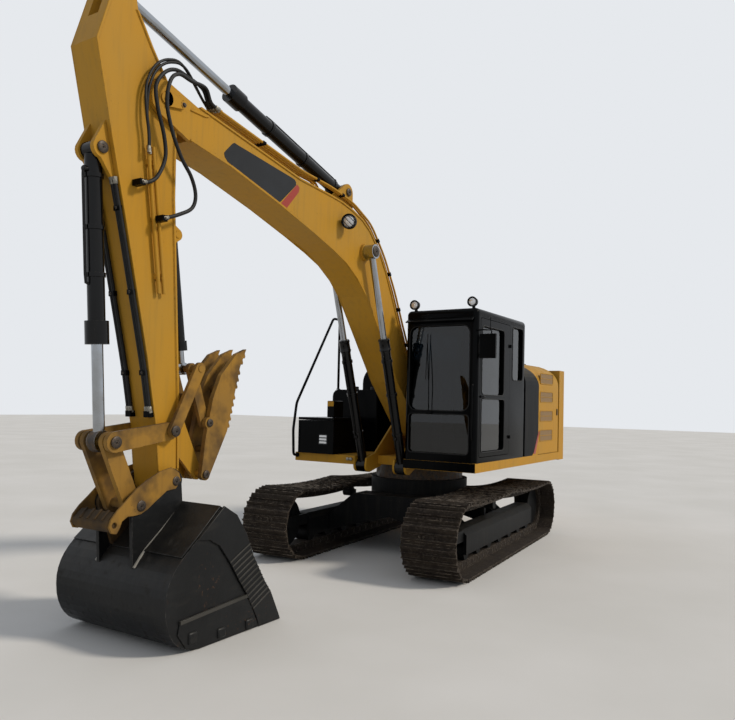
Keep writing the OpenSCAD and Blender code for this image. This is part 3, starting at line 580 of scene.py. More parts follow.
def round_plate(low, high, radius, steps=5):
    """The outline of a rectangle with round corners."""
    turns = [(high[0] - radius, low[1] + radius, -90), (high[0] - radius, high[1] - radius, 0),
             (low[0] + radius, high[1] - radius, 90), (low[0] + radius, low[1] + radius, 180)]
    return [(x + radius * math.cos(math.radians(a + 90 * k / steps)),
             z + radius * math.sin(math.radians(a + 90 * k / steps)))
            for x, z, a in turns for k in range(steps + 1)]


def through(points, per=6):
    """A smooth line through the points."""
    points = [Vector(p) for p in points]
    ends = [2 * points[0] - points[1]] + points + [2 * points[-1] - points[-2]]
    line = []
    for a, b, c, d in zip(ends, ends[1:], ends[2:], ends[3:]):
        for k in range(per):
            t = k / per
            line.append(0.5 * (2 * b + (c - a) * t + (2 * a - 5 * b + 4 * c - d) * t * t
                               + (3 * b - a - 3 * c + d) * t ** 3))
    return line + [points[-1]]


def ring(at, side, other, radius_mm, sides):
    """Points round a circle that side and other span."""
    turns = [math.tau * k / sides for k in range(sides)]
    return [at + (side * math.cos(t) + other * math.sin(t)) * radius_mm / 1000 for t in turns]


def tube(line, radius_mm, sides=12):
    """A round bar or hose along a line, closed at both ends."""
    line = [Vector(p) for p in line]
    ways = [(b - a).normalized() for a, b in zip(line, line[1:])]
    ways = [ways[0]] + [(a + b).normalized() for a, b in zip(ways, ways[1:])] + [ways[-1]]
    side = ways[0].orthogonal().normalized()
    loops = []
    for at, way in zip(line, ways):
        side = (side - way * side.dot(way)).normalized()
        loops.append(ring(at, side, way.cross(side), radius_mm, sides))
    return lofted(loops)


def turned(profile, at, way, sides=24):
    """A turned form: the profile gives radius and height in mm along the way from at."""
    way = Vector(way).normalized()
    side = way.orthogonal().normalized()
    return lofted([ring(Vector(at) + way * height / 1000, side, way.cross(side), radius, sides)
                   for radius, height in profile])


def bolt(at, way, size_mm=18):
    """A six-sided head and the washer under it."""
    head = [(size_mm * r, size_mm * h) for r, h in ((0.5, 0), (0.5, 0.4), (0.42, 0.46))]
    washer = [(size_mm * 0.66, 0), (size_mm * 0.66, size_mm * 0.09)]
    return [turned(head, at, way, 6), turned(washer, at, way, 14)]


def solid(name, forms):
    """One object of several closed forms."""
    mesh = bpy.data.meshes.new(name)
    verts, faces = [], []
    for more_verts, more_faces in forms:
        faces += [tuple(len(verts) + i for i in face) for face in more_faces]
        verts += [tuple(v) for v in more_verts]
    mesh.from_pydata(verts, [], faces)
    tidy = bmesh.new()
    tidy.from_mesh(mesh)
    bmesh.ops.recalc_face_normals(tidy, faces=tidy.faces)
    tidy.to_mesh(mesh)
    tidy.free()
    made = bpy.data.objects.new(name, mesh)
    bpy.context.scene.collection.objects.link(made)
    return made


def apply_modifiers(made):
    """Turn a mesh's modifiers into plain faces."""
    bpy.context.view_layer.update()
    shown = made.evaluated_get(bpy.context.evaluated_depsgraph_get())
    mesh = bpy.data.meshes.new_from_object(shown)
    made.modifiers.clear()
    old = made.data
    made.data = mesh
    bpy.data.meshes.remove(old)


def cut_away(made, forms):
    """Takes the forms out of the object."""
    tool = solid("tool", forms)
    less = made.modifiers.new("less", "BOOLEAN")
    less.operation = "DIFFERENCE"
    less.solver = "EXACT"
    less.use_self = True
    less.object = tool
    apply_modifiers(made)
    bpy.data.objects.remove(tool)


def rounded(made, width_mm, segments=2):
    """Breaks the sharp edges of a piece or of a solid of the frame."""
    bevel = made.modifiers.new("edge", "BEVEL")
    bevel.width = width_mm / 1000
    bevel.segments = segments
    bevel.limit_method = "ANGLE"
    bevel.angle_limit = math.radians(40)
    bevel.harden_normals = False


def piece(name, forms, finish, body, slot, soft_angle=35, edge_mm=0.0, cuts=()):
    """One object of several closed forms, less the cuts, that rides on a body."""
    made = solid(name, forms)
    if cuts:
        cut_away(made, cuts)
    made.data.shade_smooth()
    made.data.set_sharp_from_angle(angle=math.radians(soft_angle))
    made.data.materials.clear()
    made.data.materials.append(finish)
    if edge_mm:
        rounded(made, edge_mm)
    if body:
        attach(made, body)
    return made


# Boom


def boom_decals():
    """Black film panels with a red stripe on both sides of the boom, left blank."""
    panel = [(4352, 104), (4400, 112), (4424, 134), (4418, 172), (4392, 282), (4376, 306), (4344, 318),
             (4200, 384), (4000, 474), (3800, 565), (3650, 634), (3604, 652), (3578, 646), (3562, 620),
             (3652, 316), (3672, 302)]
    stripe = [(3640, 312), (3552, 332), (3496, 596), (3510, 640), (3554, 640)]
    for side, name in SIDES:
        for part, outline, finish, slot in (("panel", panel, film_black, "black_paint"),
                                            ("stripe", stripe, film_red, None)):
            form = plate(outline, side * (BOOM_WEB + 0.2), side * (BOOM_WEB + 1.6), on_boom)
            piece(f"boom_{part}_{name}", [form], finish, "boom", slot)


# Side outlines of the two arms: along from the foot pin and up from the pins' line
BOOM_TOP = [(0, 185), (250, 257), (500, 336), (900, 470), (1200, 640), (1500, 830), (1800, 1005),
            (2050, 1110), (2320, 1172), (2500, 1168), (2700, 1120), (2900, 1050), (3100, 955), (3546, 728),
            (4810, 244)]
BOOM_LOW = [(0, -185), (900, 60), (1500, 300), (2000, 495), (2250, 545), (2500, 548), (2750, 505),
            (3100, 425), (3643, 285), (4300, 92), (4750, -78)]
STICK_FRONT = [(-820, 380), (-256, 590), (381, 480), (1009, 362), (2000, 190), (2500, 125), (2860, 107)]
STICK_BACK = [(-588, 210), (-360, 78), (-150, -60), (0, -150), (742, -112), (2300, -118), (2860, -100)]
BOOM_WEB, STICK_WEB = 175, 135


def flanges():
    """Edges of the boom's and the stick's top and bottom plates, that stand out past the side plates."""
    for name, tops, lows, web, place, body in (
            ("boom", BOOM_TOP, BOOM_LOW, BOOM_WEB, on_boom, "boom"),
            ("stick", STICK_FRONT, STICK_BACK, STICK_WEB, on_stick, "stick")):
        forms = []
        for side in (-1, 1):
            forms += [strip([(x, z + up) for x, z in edge], 21, *span(side, web - 1, web + 11), place)
                      for edge, up in ((tops, 1), (lows, 20))]
        piece(f"{name}_flanges", forms, yellow, body, "yellow_paint", edge_mm=3)


def boom_beads():
    """Fillet welds between the boom's flanges and webs, laid by hand, drawn as even round beads."""
    forms = []
    for side in (-1, 1):
        for edge, drop in ((BOOM_TOP[1:-1], -22), (BOOM_LOW[1:-1], 22)):
            line = through([on_boom(x, side * BOOM_WEB, z + drop) for x, z in edge], 6)
            forms.append(tube(line, 5, 6))
    piece("boom_weld_beads", forms, yellow, "boom", "yellow_paint")


def on_cover(x, y, z):
    """The cover strip beside the boom's tip pin, which leans against the boom."""
    return on_boom(x * 0.857 - z * 0.515 + 680, y, z * 0.857 - x * 0.515 + 2662)


def tip_retainers():
    """At the boom's tip: the plates that hold the pin, their bolts, and the cover strips behind them."""
    pin, screw = Vector((BOOM_LENGTH - 1, 0)), Vector((4952, 92))
    base = math.atan2(pin.x - screw.x, screw.y - pin.y)
    outline = []
    for centre, radius, start in ((pin, 62, base), (screw, 34, base + math.pi)):
        outline += [(centre.x + radius * math.cos(start + math.pi * k / 12),
                     centre.y + radius * math.sin(start + math.pi * k / 12)) for k in range(13)]
    screws, plates = [], []
    for side in (-1, 1):
        plates.append(plate(outline, side * 184, side * 197, on_boom))
        plates.append(plate(round_plate((4700, -26), (4890, 26), 24), side * 175, side * 185, on_cover))
        screws += bolt(on_boom(screw.x, side * 197, screw.y), (0, side, 0), 30)
        screws.append(turned([(13, 0), (13, 8), (6, 12)], on_boom(pin.x, side * 197, pin.y), (0, side, 0)))
    piece("tip_pin_plates", plates, yellow, "boom", "yellow_paint", edge_mm=3)
    piece("tip_pin_bolts", screws, bolt_steel, "boom", "track_steel")


def bent(route, reach_mm):
    """A route whose corners are bent round, starting that far before each corner."""
    line = [Vector(route[0])]
    for before, here, after in zip(route, route[1:], route[2:]):
        here = Vector(here)
        back = here + (Vector(before) - here).normalized() * reach_mm
        ahead = here + (Vector(after) - here).normalized() * reach_mm
        line += [back * (1 - t) ** 2 + here * 2 * t * (1 - t) + ahead * t * t
                 for t in (0, 0.2, 0.4, 0.6, 0.8, 1)]
    return line + [Vector(route[-1])]


def boom_lines():
    """Steel pipes over the boom in their painted clamps, two long ones and two short ones a side."""
    long = [(700, 480), (1100, 712), (1500, 955), (1900, 1145), (2320, 1262), (2720, 1205), (3100, 1058),
            (3546, 828), (4649, 400)]
    short = [(3160, 900), (3240, 985), (3546, 828), (4649, 400)]
    lines, clamps, screws = [], [], []
    for side in (-1, 1):
        for y, route in ((62, short), (95, short), (128, long), (161, long)):
            lines.append(tube([on_boom(p.x, side * y, p.y) for p in bent(route, 110)], 12, 14))
            end, way = Vector(route[-1]), (Vector(route[-1]) - Vector(route[-2])).normalized()
            for back, radius, length in ((34, 17, 26), (8, 19, 18)):
                at = end - way * back
                lines.append(turned([(radius, 0), (radius, length)], on_boom(at.x, side * y, at.y),
                                    on_boom(way.x, 0, way.y) - on_boom(0, 0, 0), 6))
        for i in (0, 1, 2, 3, 5, 6, 7):
            a, b = Vector(long[i]), Vector(long[i + 1])
            mid, way = (a + b) / 2, (b - a).normalized()
            up = Vector((-way.y, way.x))

            def on_pad(x, y, z, mid=mid, way=way, up=up):
                p = mid + way * x + up * z
                return on_boom(p.x, y, p.y)
            low, high = span(side, 45 if i == 7 else 112, 177)
            clamps.append(block((-22, low, -13), (22, high, 14), on_pad))
            screws += bolt(on_pad(0, side * 144.5, 14), on_pad(0, 0, 1) - on_pad(0, 0, 0), 16)
    new = piece("boom_lines", lines, yellow, "boom", "yellow_paint", 40)
    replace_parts(new, "boom_pipes")
    piece("boom_line_clamps", clamps, black, "boom", "black_paint", edge_mm=3)
    piece("boom_line_screws", screws, bolt_steel, "boom", "track_steel")


def boom_work_lamp():
    """Round work lamp on the boom's left side: lens, bowl and the guard ring round it."""
    at = on_boom(2765, 262, 873)
    way = Vector((0.93, 0.30, -0.10)).normalized()
    bowl = turned([(0.5, -44), (42, -44), (66, -20), (78, 8), (80, 46), (75, 54), (69, 54), (66, 32),
                   (0.5, 32)], at, way, 28)
    arm = block((2735, 175, 868), (2795, 262, 886), on_boom)
    new = piece("boom_lamp_bowl", [bowl, arm], plastic, "boom", "grey_plastic", edge_mm=2)
    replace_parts(new, "boom_lamp")
    lens = turned([(66, 34), (64, 42), (50, 50), (28, 55), (0.5, 56)], at, way, 28)
    piece("boom_lamp_lens", [lens], bright_painted_lens, "boom", "window_glass", 60)
    side = way.orthogonal().normalized()
    other = way.cross(side)
    hoop = ring(at + way * 0.062, side, other, 74, 32)
    guard = [tube(hoop + hoop[:1], 4, 8)]
    for lean in (-0.04, 0.0, 0.04):
        half = math.sqrt(0.074 ** 2 - lean ** 2)
        guard.append(tube([at + way * 0.064 + side * lean - other * half, at + way * 0.068 + side * lean,
                           at + way * 0.064 + side * lean + other * half], 3, 8))
    piece("boom_lamp_guard", guard, black, "boom", "black_paint")


# Hoses


def hose(points, radius, hoses, ends, sides=14):
    """One hose through its points, with the crimped collar and the nut at both of its ends."""
    line = through(points, 8)
    hoses.append(tube(line, radius, sides))
    collar = [(radius * 1.22, 0), (radius * 1.3, 4), (radius * 1.3, 40), (radius * 1.1, 44)]
    for end, before in ((line[-1], line[-2]), (line[0], line[1])):
        ends.append(turned(collar, end, before - end, 18))
        ends.append(turned([(radius * 1.5, -6), (radius * 1.5, 12)], end, before - end, 6))


def over_joint(name, hoses, ends, start, end):
    """Hoses and their ends, as two pieces fixed where they are built, on no body; start and end are not used.
    """
    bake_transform(piece(name + "_hose_bundle", hoses, rubber, None, None, 60))
    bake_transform(piece(name + "_hose_fittings", ends, zinc, None, "track_steel", 40))


def tip_hoses():
    """Hoses that hang over the boom's tip and down the stick's sides, four on a side."""
    hoses, ends = [], []
    routes = [
        (128, 15, 212, [(-230, 258), (-80, 250), (48, 171), (125, 40), (100, -121), (34, -305), (14, -466),
                        (75, -618), (150, -690), (231, -716)]),
        (161, 15, 246, [(-240, 220), (-90, 212), (15, 120), (45, -60), (-10, -250), (-110, -430),
                        (-225, -560), (-275, -690), (-240, -800), (-110, -880), (40, -946)]),
    ]
    for side in (-1, 1):
        for lane, radius, out, route in routes:
            line = [on_boom(x, side * (lane + y), z)
                    for x, y, z in ((4650, 0, 400), (4745, 4, 378), (4855, 12, 420))]
            for k, (x, z) in enumerate(route):
                y = lane + 20 + (out - lane - 20) * min(1, (k + 1) / 3)
                line.append(past_tip(x, side * y, z))
            hose(line, radius, hoses, ends)
        for lane, shift in ((183, 0), (206, 26)):
            line = [on_boom(4649, side * (95 - shift * 1.27), 400),
                    on_boom(4780, side * (110 - shift), 372 + shift)]
            line += [past_tip(x + shift, side * y, z + shift * 0.4)
                    for x, y, z in ((-190, 188, 300), (-40, 192, 292), (95, 194, 190), (172, 194, 20),
                                    (176, lane, -180), (150, lane, -330))]
            line.append(past_tip(140 + shift, side * lane, -470))
            hose(line, 11, hoses, ends, 12)
    over_joint("tip", hoses, ends, past_tip(-120, 0, 260), past_tip(60, 0, -520))


def foot_hoses():
    """Hoses from the swivel in the deck up to the pipes on the boom's back."""
    hoses, ends = [], []
    for side in (-1, 1):
        for lane in (128, 161):
            shift = (lane - 128) * 0.6
            route = ((shift - 250, 1174), (shift - 262, 1500), (shift - 235, 1820), (-90, 2035 - shift),
                     (160, 2105 - shift), (390, 2135 - shift * 0.5), (500, 2225))
            line = [on_house(x, side * lane, z) for x, z in route]
            hose(line + [on_boom(699, side * lane, 479)], 15, hoses, ends)
    over_joint("foot", hoses, ends, on_house(-180, 0, 1900), on_house(420, 0, 2180))


def stick_hoses():
    """Hoses along the stick: down its front behind the bucket cylinder, and in clamps on its sides."""
    hoses, ends, clamps, screws = [], [], [], []
    for side in (-1, 1):
        for y in (90, 121):
            route = ((690, 444), (850, 416), (1009, 385), (1400, 316), (2000, 213), (2250, 178), (2400, 160))
            hose([on_stick(x, side * y, z) for x, z in route], 15, hoses, ends)
        for x, z in ((900, 405), (1500, 300), (2100, 200)):
            low, high = span(side, 73, 133)
            clamps.append(block((x - 20, low, z - 17), (x + 20, high, z + 17), on_stick))
            screws += bolt(on_stick(x, side * 105.5, z + 17), on_stick(0, 0, 1) - on_stick(0, 0, 0), 16)
        low, high = span(side, 72, 134)
        clamps.append(block((2392, low, 118), (2440, high, 182), on_stick))
        for x, z, reach in ((230, -715, 228), (40, -945, 262)):
            low, high = span(side, 135, reach)
            clamps.append(block((x - 25, low, z - 23), (x + 25, high, z + 23), past_tip))
            screws += bolt(past_tip(x, side * reach, z), (0, side, 0), 18)
    piece("stick_hose_lines", hoses, rubber, "stick", None, 60)
    piece("stick_hose_clamps", clamps, black, "stick", "black_paint", edge_mm=3)
    piece("stick_hose_fittings", ends, zinc, "stick", "track_steel", 40)
    piece("stick_clamp_screws", screws, bolt_steel, "stick", "track_steel")


def barrel_bands():
    """Bands, port blocks and feed pipes on the cylinders' barrels, and the glands of the boom's."""
    link = middle(on_stick, LINK_PIN)
    gland = [(50, 1420), (66, 1426), (66, 1440), (61, 1446), (61, 1528), (66, 1534), (66, 1550), (40, 1556)]
    for name, body, start, end, radius, spots, lanes in (
            ("bucket", "bucket_barrel", middle(on_stick, BUCKET_BARREL_PIN), link, 62, (190, 560, 900), (0,)),
            ("stick", "stick_barrel", middle(on_boom, STICK_BARREL_PIN), middle(on_stick, (-750, 315)), 68,
             (170, 700, 1250), (0,)),
            ("boom", "boom_barrels", middle(on_house, (950, 1060)), middle(on_boom, BOOM_ROD_PIN), 55,
             (420, 900, 1300), (-270, 270))):
        forms = []
        band = [(radius - 2, -18), (radius + 9, -16), (radius + 9, 16), (radius - 2, 18)]
        way = (end - start).normalized()
        up = Vector((0, 1, 0)).cross(way).normalized()
        if up.x + up.z < 0:
            up = -up
        for lane in lanes:
            base = start + Vector((0, lane / 1000, 0))
            for spot in spots:
                forms.append(turned(band, base + way * spot / 1000, way, 28))
            if name == "boom":
                forms.append(turned(gland, base, way, 32))
            first, last = spots[0], spots[-1]
            feed = [base + way * a / 1000 + up * (radius + b) / 1000
                    for a, b in ((first - 40, -8), (first - 36, 24), (first, 26), (last, 26), (last + 60, 22),
                                 (last + 70, -8))]
            port = base + way * (first - 38) / 1000 + up * (radius - 4) / 1000
            forms += [tube(feed, 11, 10), turned([(20, -4), (24, 0), (24, 26), (16, 34)], port, up, 14)]
        piece(f"{name}_barrel_bands", forms, barrel_black, body, "black_paint", 40, edge_mm=1.5)
    low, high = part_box("bucket_rod")
    half, eye = (high[1] - low[1]) * 500, (link.z - low[2]) * 1000
    profile = [(eye - 4, 1 - half), (eye + 3, 5 - half), (eye + 3, half - 5), (eye - 4, half - 1)]
    sleeve = turned(profile, link, (0, 1, 0), 32)
    piece("bucket_rod_sleeve", [sleeve], greased, "bucket_rod", "black_paint", 40)


def stick_beads():
    """Fillet welds along the stick's flanges."""
    forms = []
    for side in (-1, 1):
        for edge, drop in ((STICK_FRONT, -22), (STICK_BACK, 22)):
            forms.append(tube([on_stick(x, side * STICK_WEB, z + drop) for x, z in edge[:-1]], 5, 6))
    piece("stick_weld_beads", forms, yellow, "stick", "yellow_paint")


# Undercarriage


IDLER_AT, IDLER_R = Vector((1660, 408)), 322
SPROCKET_AT, SPROCKET_R = Vector((-1660, 385)), 299
CARRIER_AT = Vector((99.6, 724))
SHOES = 50
PLATE_TOP = 60


def chain_line():
    """The pins' line round idler, carrier roller and sprocket, in mm along and up."""
    def around(centre, radius, start):
        return [centre + radius * Vector((math.cos(math.radians(start + 180 * k / 16)),
                                          math.sin(math.radians(start + 180 * k / 16)))) for k in range(17)]

    def hanging(a, b):
        return [a.lerp(b, k / 6) - Vector((0, 136 * k / 6 * (1 - k / 6))) for k in range(1, 6)]
    line, back = around(IDLER_AT, IDLER_R, -90), SPROCKET_AT + Vector((0, SPROCKET_R))
    line += hanging(line[-1], CARRIER_AT) + [CARRIER_AT] + hanging(CARRIER_AT, back)
    return line + around(SPROCKET_AT, SPROCKET_R, 90) + [IDLER_AT - Vector((0, IDLER_R))]


def shoe_ends():
    """Both ends of every shoe on the pins' line."""
    line = chain_line()
    runs = [(b - a).length for a, b in zip(line, line[1:])]
    pitch = sum(runs) / SHOES
    ends, gone, i = [], 0.0, 0
    for k in range(SHOES + 1):
        while i < len(runs) - 1 and gone + runs[i] < k * pitch:
            gone += runs[i]
            i += 1
        ends.append(line[i].lerp(line[i + 1], min(1, (k * pitch - gone) / runs[i])))
    return list(zip(ends, ends[1:]))


def shoe_bolts():
    """Four bolt heads in a row on every shoe, beside the chain under it."""
    forms = []
    for side in (-1, 1):
        for a, b in shoe_ends():
            run = b - a
            out = Vector((run.y, -run.x)).normalized()
            at = a + run * 0.31 + out * (PLATE_TOP - 0.5)
            way = on_tracks(out.x, 0, out.y)
            for y in (-96, -52, 52, 96):
                forms += bolt(on_tracks(at.x, side * TRACK_MID + y, at.y), way, 26)[:1]
    piece("shoe_bolts", forms, shoe_steel, "undercarriage", "track_steel")


def link_rails():
    """The chain's side links on the inside of the shoes, with their pins and bushes."""
    links, bushes = [], []
    for side in (-1, 1):
        for a, b in shoe_ends():
            pitch, way = (b - a).length, (b - a).normalized()
            up = Vector((way.y, -way.x))

            def on_link(x, y, z, a=a, way=way, up=up):
                p = a + way * x + up * z
                return on_tracks(p.x, side * TRACK_MID + y, p.y)
            for y in (-97, 97):
                outline = [(12, -34), (pitch - 22, -34), (pitch + 6, -16), (pitch + 6, 14), (pitch - 20, 30),
                           (8, 30), (-14, 14), (-14, -12)]
                links.append(plate(outline, y - 3.5, y + 3.5, on_link))
            across = on_link(0, 1, 0) - on_link(0, 0, 0)
            bushes.append(turned([(16, -104), (16, 104)], on_link(0, 0, 0), across, 12))
    piece("chain_links", links, shoe_steel, "undercarriage", "track_steel")
    piece("chain_pins", bushes, bolt_steel, "undercarriage", "track_steel")


# House


CAB_BACK, CAB_FRONT, CAB_IN, CAB_OUT, CAB_FLOOR, CAB_ROOF = -510, 1045, 338, HOUSE_HALF, DECK_TOP, 2900
CAB_WALL, CAB_ROUND = 60, 55
# Low and high corner and corner radius of every pane: across, then up
SCREENS = [((392, 1262), (1150, 1707), 45), ((392, 1747), (1150, 2712), 95)]
REAR_SIDE = ((-400, 2132), (-40, 2790), 50)
RIGHT_SIDE = ((-420, 1750), (955, 2720), 60)
BACK_PANE = ((428, 2000), (1148, 2720), 60)
DOORWAY = ((50, 1232), (955, 2800), 30)
DOOR = ((57, 1239), (948, 2793), 26)
DOOR_PANES = [((215, 1289), (905, 1892), 45), ((240, 1934), (905, 2712), 55)]


def in_front(y, x, z):
    """A place in the house's front view, so that plate gives walls that face forward."""
    return on_house(x, y, z)


def in_plan(x, z, y):
    """A place in the house's plan, so that plate gives level sheets."""
    return on_house(x, y, z)


def opening(corners, start, end, place):
    """A pane's outline with its round corners, as deep as from start to end."""
    return plate(round_plate(*corners, 6), start, end, place)


def cab():
    """The cab: a pressed shell with round corners, its windows cut through, and the panes in them."""
    def level(inset, z):
        low, high = (CAB_BACK + inset, CAB_IN + inset), (CAB_FRONT - inset, CAB_OUT - inset)
        return [in_plan(x, z, y) for x, y in round_plate(low, high, max(2, CAB_ROUND - inset), 6)]
    levels = [level(0, CAB_FLOOR)]
    for turn in (math.radians(15 * k) for k in range(7)):
        inset, drop = CAB_ROUND * (1 - math.cos(turn)) * 0.95, CAB_ROUND * (1 - math.sin(turn))
        levels.append(level(inset, CAB_ROOF - drop))
    inside = block((CAB_BACK + CAB_WALL, CAB_IN + CAB_WALL, CAB_FLOOR + CAB_WALL),
                   (CAB_FRONT - CAB_WALL, CAB_OUT - CAB_WALL, CAB_ROOF - CAB_WALL), on_house)
    walls = [(REAR_SIDE, CAB_OUT, -1, on_house), (RIGHT_SIDE, CAB_IN, 1, on_house),
             (BACK_PANE, CAB_BACK, 1, in_front)]
    screens = [(pane, CAB_FRONT, -1, in_front) for pane in SCREENS]
    cuts = [inside] + [opening(pane, *sorted((face - 20 * way, face + 80 * way)), place)
                       for pane, face, way, place in [(DOORWAY, CAB_OUT, -1, on_house)] + walls + screens]
    cuts += [block((CAB_BACK + 60, CAB_OUT - 4, z), (CAB_FRONT - 60, CAB_OUT + 6, z + 5), on_house)
             for z in (2812, 2826, 2840)]
    shell = piece("cab_pressing", [lofted(levels)], black, "house", "black_paint", edge_mm=5, cuts=cuts)
    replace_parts(shell, "cab_shell")
    panes = [opening(pane, *sorted((face + 28 * way, face + 34 * way)), place)
             for pane, face, way, place in screens + walls]
    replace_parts(piece("cab_panes", panes, glass, "house", "window_glass"), "cab_glass")


def cab_door():
    """The door with its two panes, its hinges and the pull on its outer face."""
    hinges = (1422, 2522)
    leaf = [opening(DOOR, CAB_OUT - 58, CAB_OUT + 1.5, on_house)]
    leaf += [turned([(11, 0), (11, 40)], on_house(52, 1250, z), (0, 0, 1), 16) for z in hinges]
    leaf += [block((52, CAB_OUT, z), (96, CAB_OUT + 6, z + 40), on_house) for z in hinges]
    cuts = [opening(pane, CAB_OUT - 80, CAB_OUT + 20, on_house) for pane in DOOR_PANES]
    door = piece("door_pressing", leaf, black, "cab_door", "black_paint", edge_mm=5, cuts=cuts)
    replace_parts(door, "cab_door")
    panes = [opening(pane, CAB_OUT - 34, CAB_OUT - 28, on_house) for pane in DOOR_PANES]
    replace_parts(piece("door_panes", panes, glass, "cab_door", "window_glass"), "door_glass")
    grip = [on_house(x, y, 1913) for x, y in ((845, 1245), (850, 1268), (905, 1268), (910, 1245))]
    pull = [block((832, CAB_OUT + 1, 1898), (926, CAB_OUT + 12, 1928), on_house), tube(grip, 7, 10)]
    piece("door_pull", pull, plastic, "cab_door", "grey_plastic", edge_mm=3)


def cab_trim():
    """Rubber seals round the panes, the wiper, the visor, the roof hatch, the cover of the deck's front
    edge, the mirror's bars and the grab rail."""
    def seal(corners, face, place):
        line = [place(a, face, b) for a, b in round_plate(*corners)]
        return tube(line + [line[0]], 6, 8)
    seals = [seal(pane, CAB_FRONT, in_front) for pane in SCREENS]
    seals += [seal(REAR_SIDE, CAB_OUT, on_house), seal(RIGHT_SIDE, CAB_IN, on_house),
              seal(BACK_PANE, CAB_BACK, in_front)]
    piece("window_seals", seals, rubber, "house", None, 60)
    seals = [seal(pane, CAB_OUT + 1, on_house) for pane in DOOR_PANES]
    piece("door_seals", seals, rubber, "cab_door", None, 60)
    arm = [tube([(1.058, 0.66, 1.725), (1.070, 0.66, 2.05), (1.058, 0.63, 2.52)], 6, 8),
           block((1044, 630, 1705), (1070, 700, 1742), on_house)]
    piece("wiper_arm", arm, black, "house", "black_paint", edge_mm=2)
    piece("wiper_blade", [tube([(1.056, 0.615, 2.10), (1.053, 0.63, 2.62)], 5, 8)], rubber, "house", None)
    visor = plate([(1030, 2792), (1040, 2806), (1122, 2764), (1126, 2752), (1118, 2750)], 372, 1204, on_house)
    hatch = block((-180, 508, 2899), (440, 1068, 2914), on_house)
    piece("cab_visor", [visor, hatch], black, "house", "black_paint", edge_mm=4)
    cover = [block((1040, 334, 1070), (1047, 1237, 1171), on_house)]
    piece("deck_front_cover", cover, black, "house", "black_paint", edge_mm=3)
    bars = [tube([(1.03, 1.225, 2.645), (1.02, 1.30, 2.65), (1.0, 1.385, 2.645), (1.0, 1.39, 2.60)], 8, 10),
            tube([(1.0, 1.37, 2.64), (1.0, 1.372, 2.79)], 4, 8)]
    piece("mirror_bars", bars, black, "house", "black_paint")
    grip = through([(1.046, 1.192, 1.42), (1.088, 1.200, 1.45), (1.092, 1.203, 1.62), (1.092, 1.206, 1.86),
                    (1.088, 1.206, 2.02), (1.046, 1.200, 2.05)], 5)
    piece("cab_grab_rail", [tube(grip, 11, 12)], black, "house", "black_paint")


def roof_lamps():
    """The two work lamps on the cab's roof: bowls on feet, lenses and dark rims."""
    bowls, lenses, rims = [], [], []
    for y in (418, 1148):
        at = on_house(930, y, 2972)
        bowl = [(0.5, -2), (34, -2), (50, 18), (55, 66), (47, 66), (44, 58), (0.5, 58)]
        bowls.append(turned(bowl, at, (1, 0, 0), 28))
        bowls.append(block((935, y - 14, 2892), (965, y + 14, 2925), on_house))
        lenses.append(turned([(45, 60), (43, 68), (30, 74), (0.5, 76)], at, (1, 0, 0), 26))
        rims.append(turned([(57, 60), (58, 76), (50, 78), (46, 64)], at, (1, 0, 0), 26))
    new = piece("roof_lamp_bowls", bowls, plastic, "house", "grey_plastic", edge_mm=2)
    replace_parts(new, "cab_lamps")
    piece("roof_lamp_lenses", lenses, bright_painted_lens, "house", "window_glass", 60)
    piece("roof_lamp_rims", rims, black, "house", "black_paint")


VENT_X = (-1640, -1105)
VENT_Z = [(1350, 1500), (1620, 1760), (1880, 2020), (2130, 2270)]


def vents():
    """Four vents in each service door: expanded metal in a raised frame, with a rib across it."""
    for side, name in SIDES:
        door, face = f"service_door_{name}", side * (HOUSE_HALF + 1)
        frames, screens = [], []
        depth = span(side, HOUSE_HALF - 0.5, HOUSE_HALF + 1)
        for z0, z1 in VENT_Z:
            corners = (VENT_X[0], z0), (VENT_X[1], z1)
            screens.append(plate(round_plate(*corners, 20), *depth, on_house))
            line = [on_house(x, face, z) for x, z in round_plate(*corners, 22)]
            frames.append(tube(line + [line[0]], 6, 8))
            frames.append(tube([on_house(x, face, (z0 + z1) / 2) for x in VENT_X], 4, 8))
        piece(f"vent_screens_{name}", screens, mesh_steel, door, None)
        piece(f"vent_frames_{name}", frames, yellow, door, "yellow_paint", 60)
    for side, name in SIDES:
        low, high = span(side, HOUSE_HALF, HOUSE_HALF + 8)
        latch = block((-1862, low, 1700), (-1820, high, 1790), on_house)
        piece(f"door_latch_{name}", [latch], plastic, f"service_door_{name}", "grey_plastic", edge_mm=3)


def side_stripe():
    """Red stripe low on each side, where the black panel meets the yellow door."""
    on_door = [(-1108, 1484), (-1062, 1484), (-1054, 1472), (-1054, 1386)]
    on_panel = [(-1046, 1460), (-868, 1190), (-945, 1190), (-1046, 1372)]
    for side, name in SIDES:
        depth = span(side, HOUSE_HALF + 0.2, HOUSE_HALF + 1.4)
        for part, outline, body in (("door", on_door, f"service_door_{name}"), ("side", on_panel, "house")):
            piece(f"{part}_stripe_{name}", [plate(outline, *depth, on_house)], film_red, body, None)


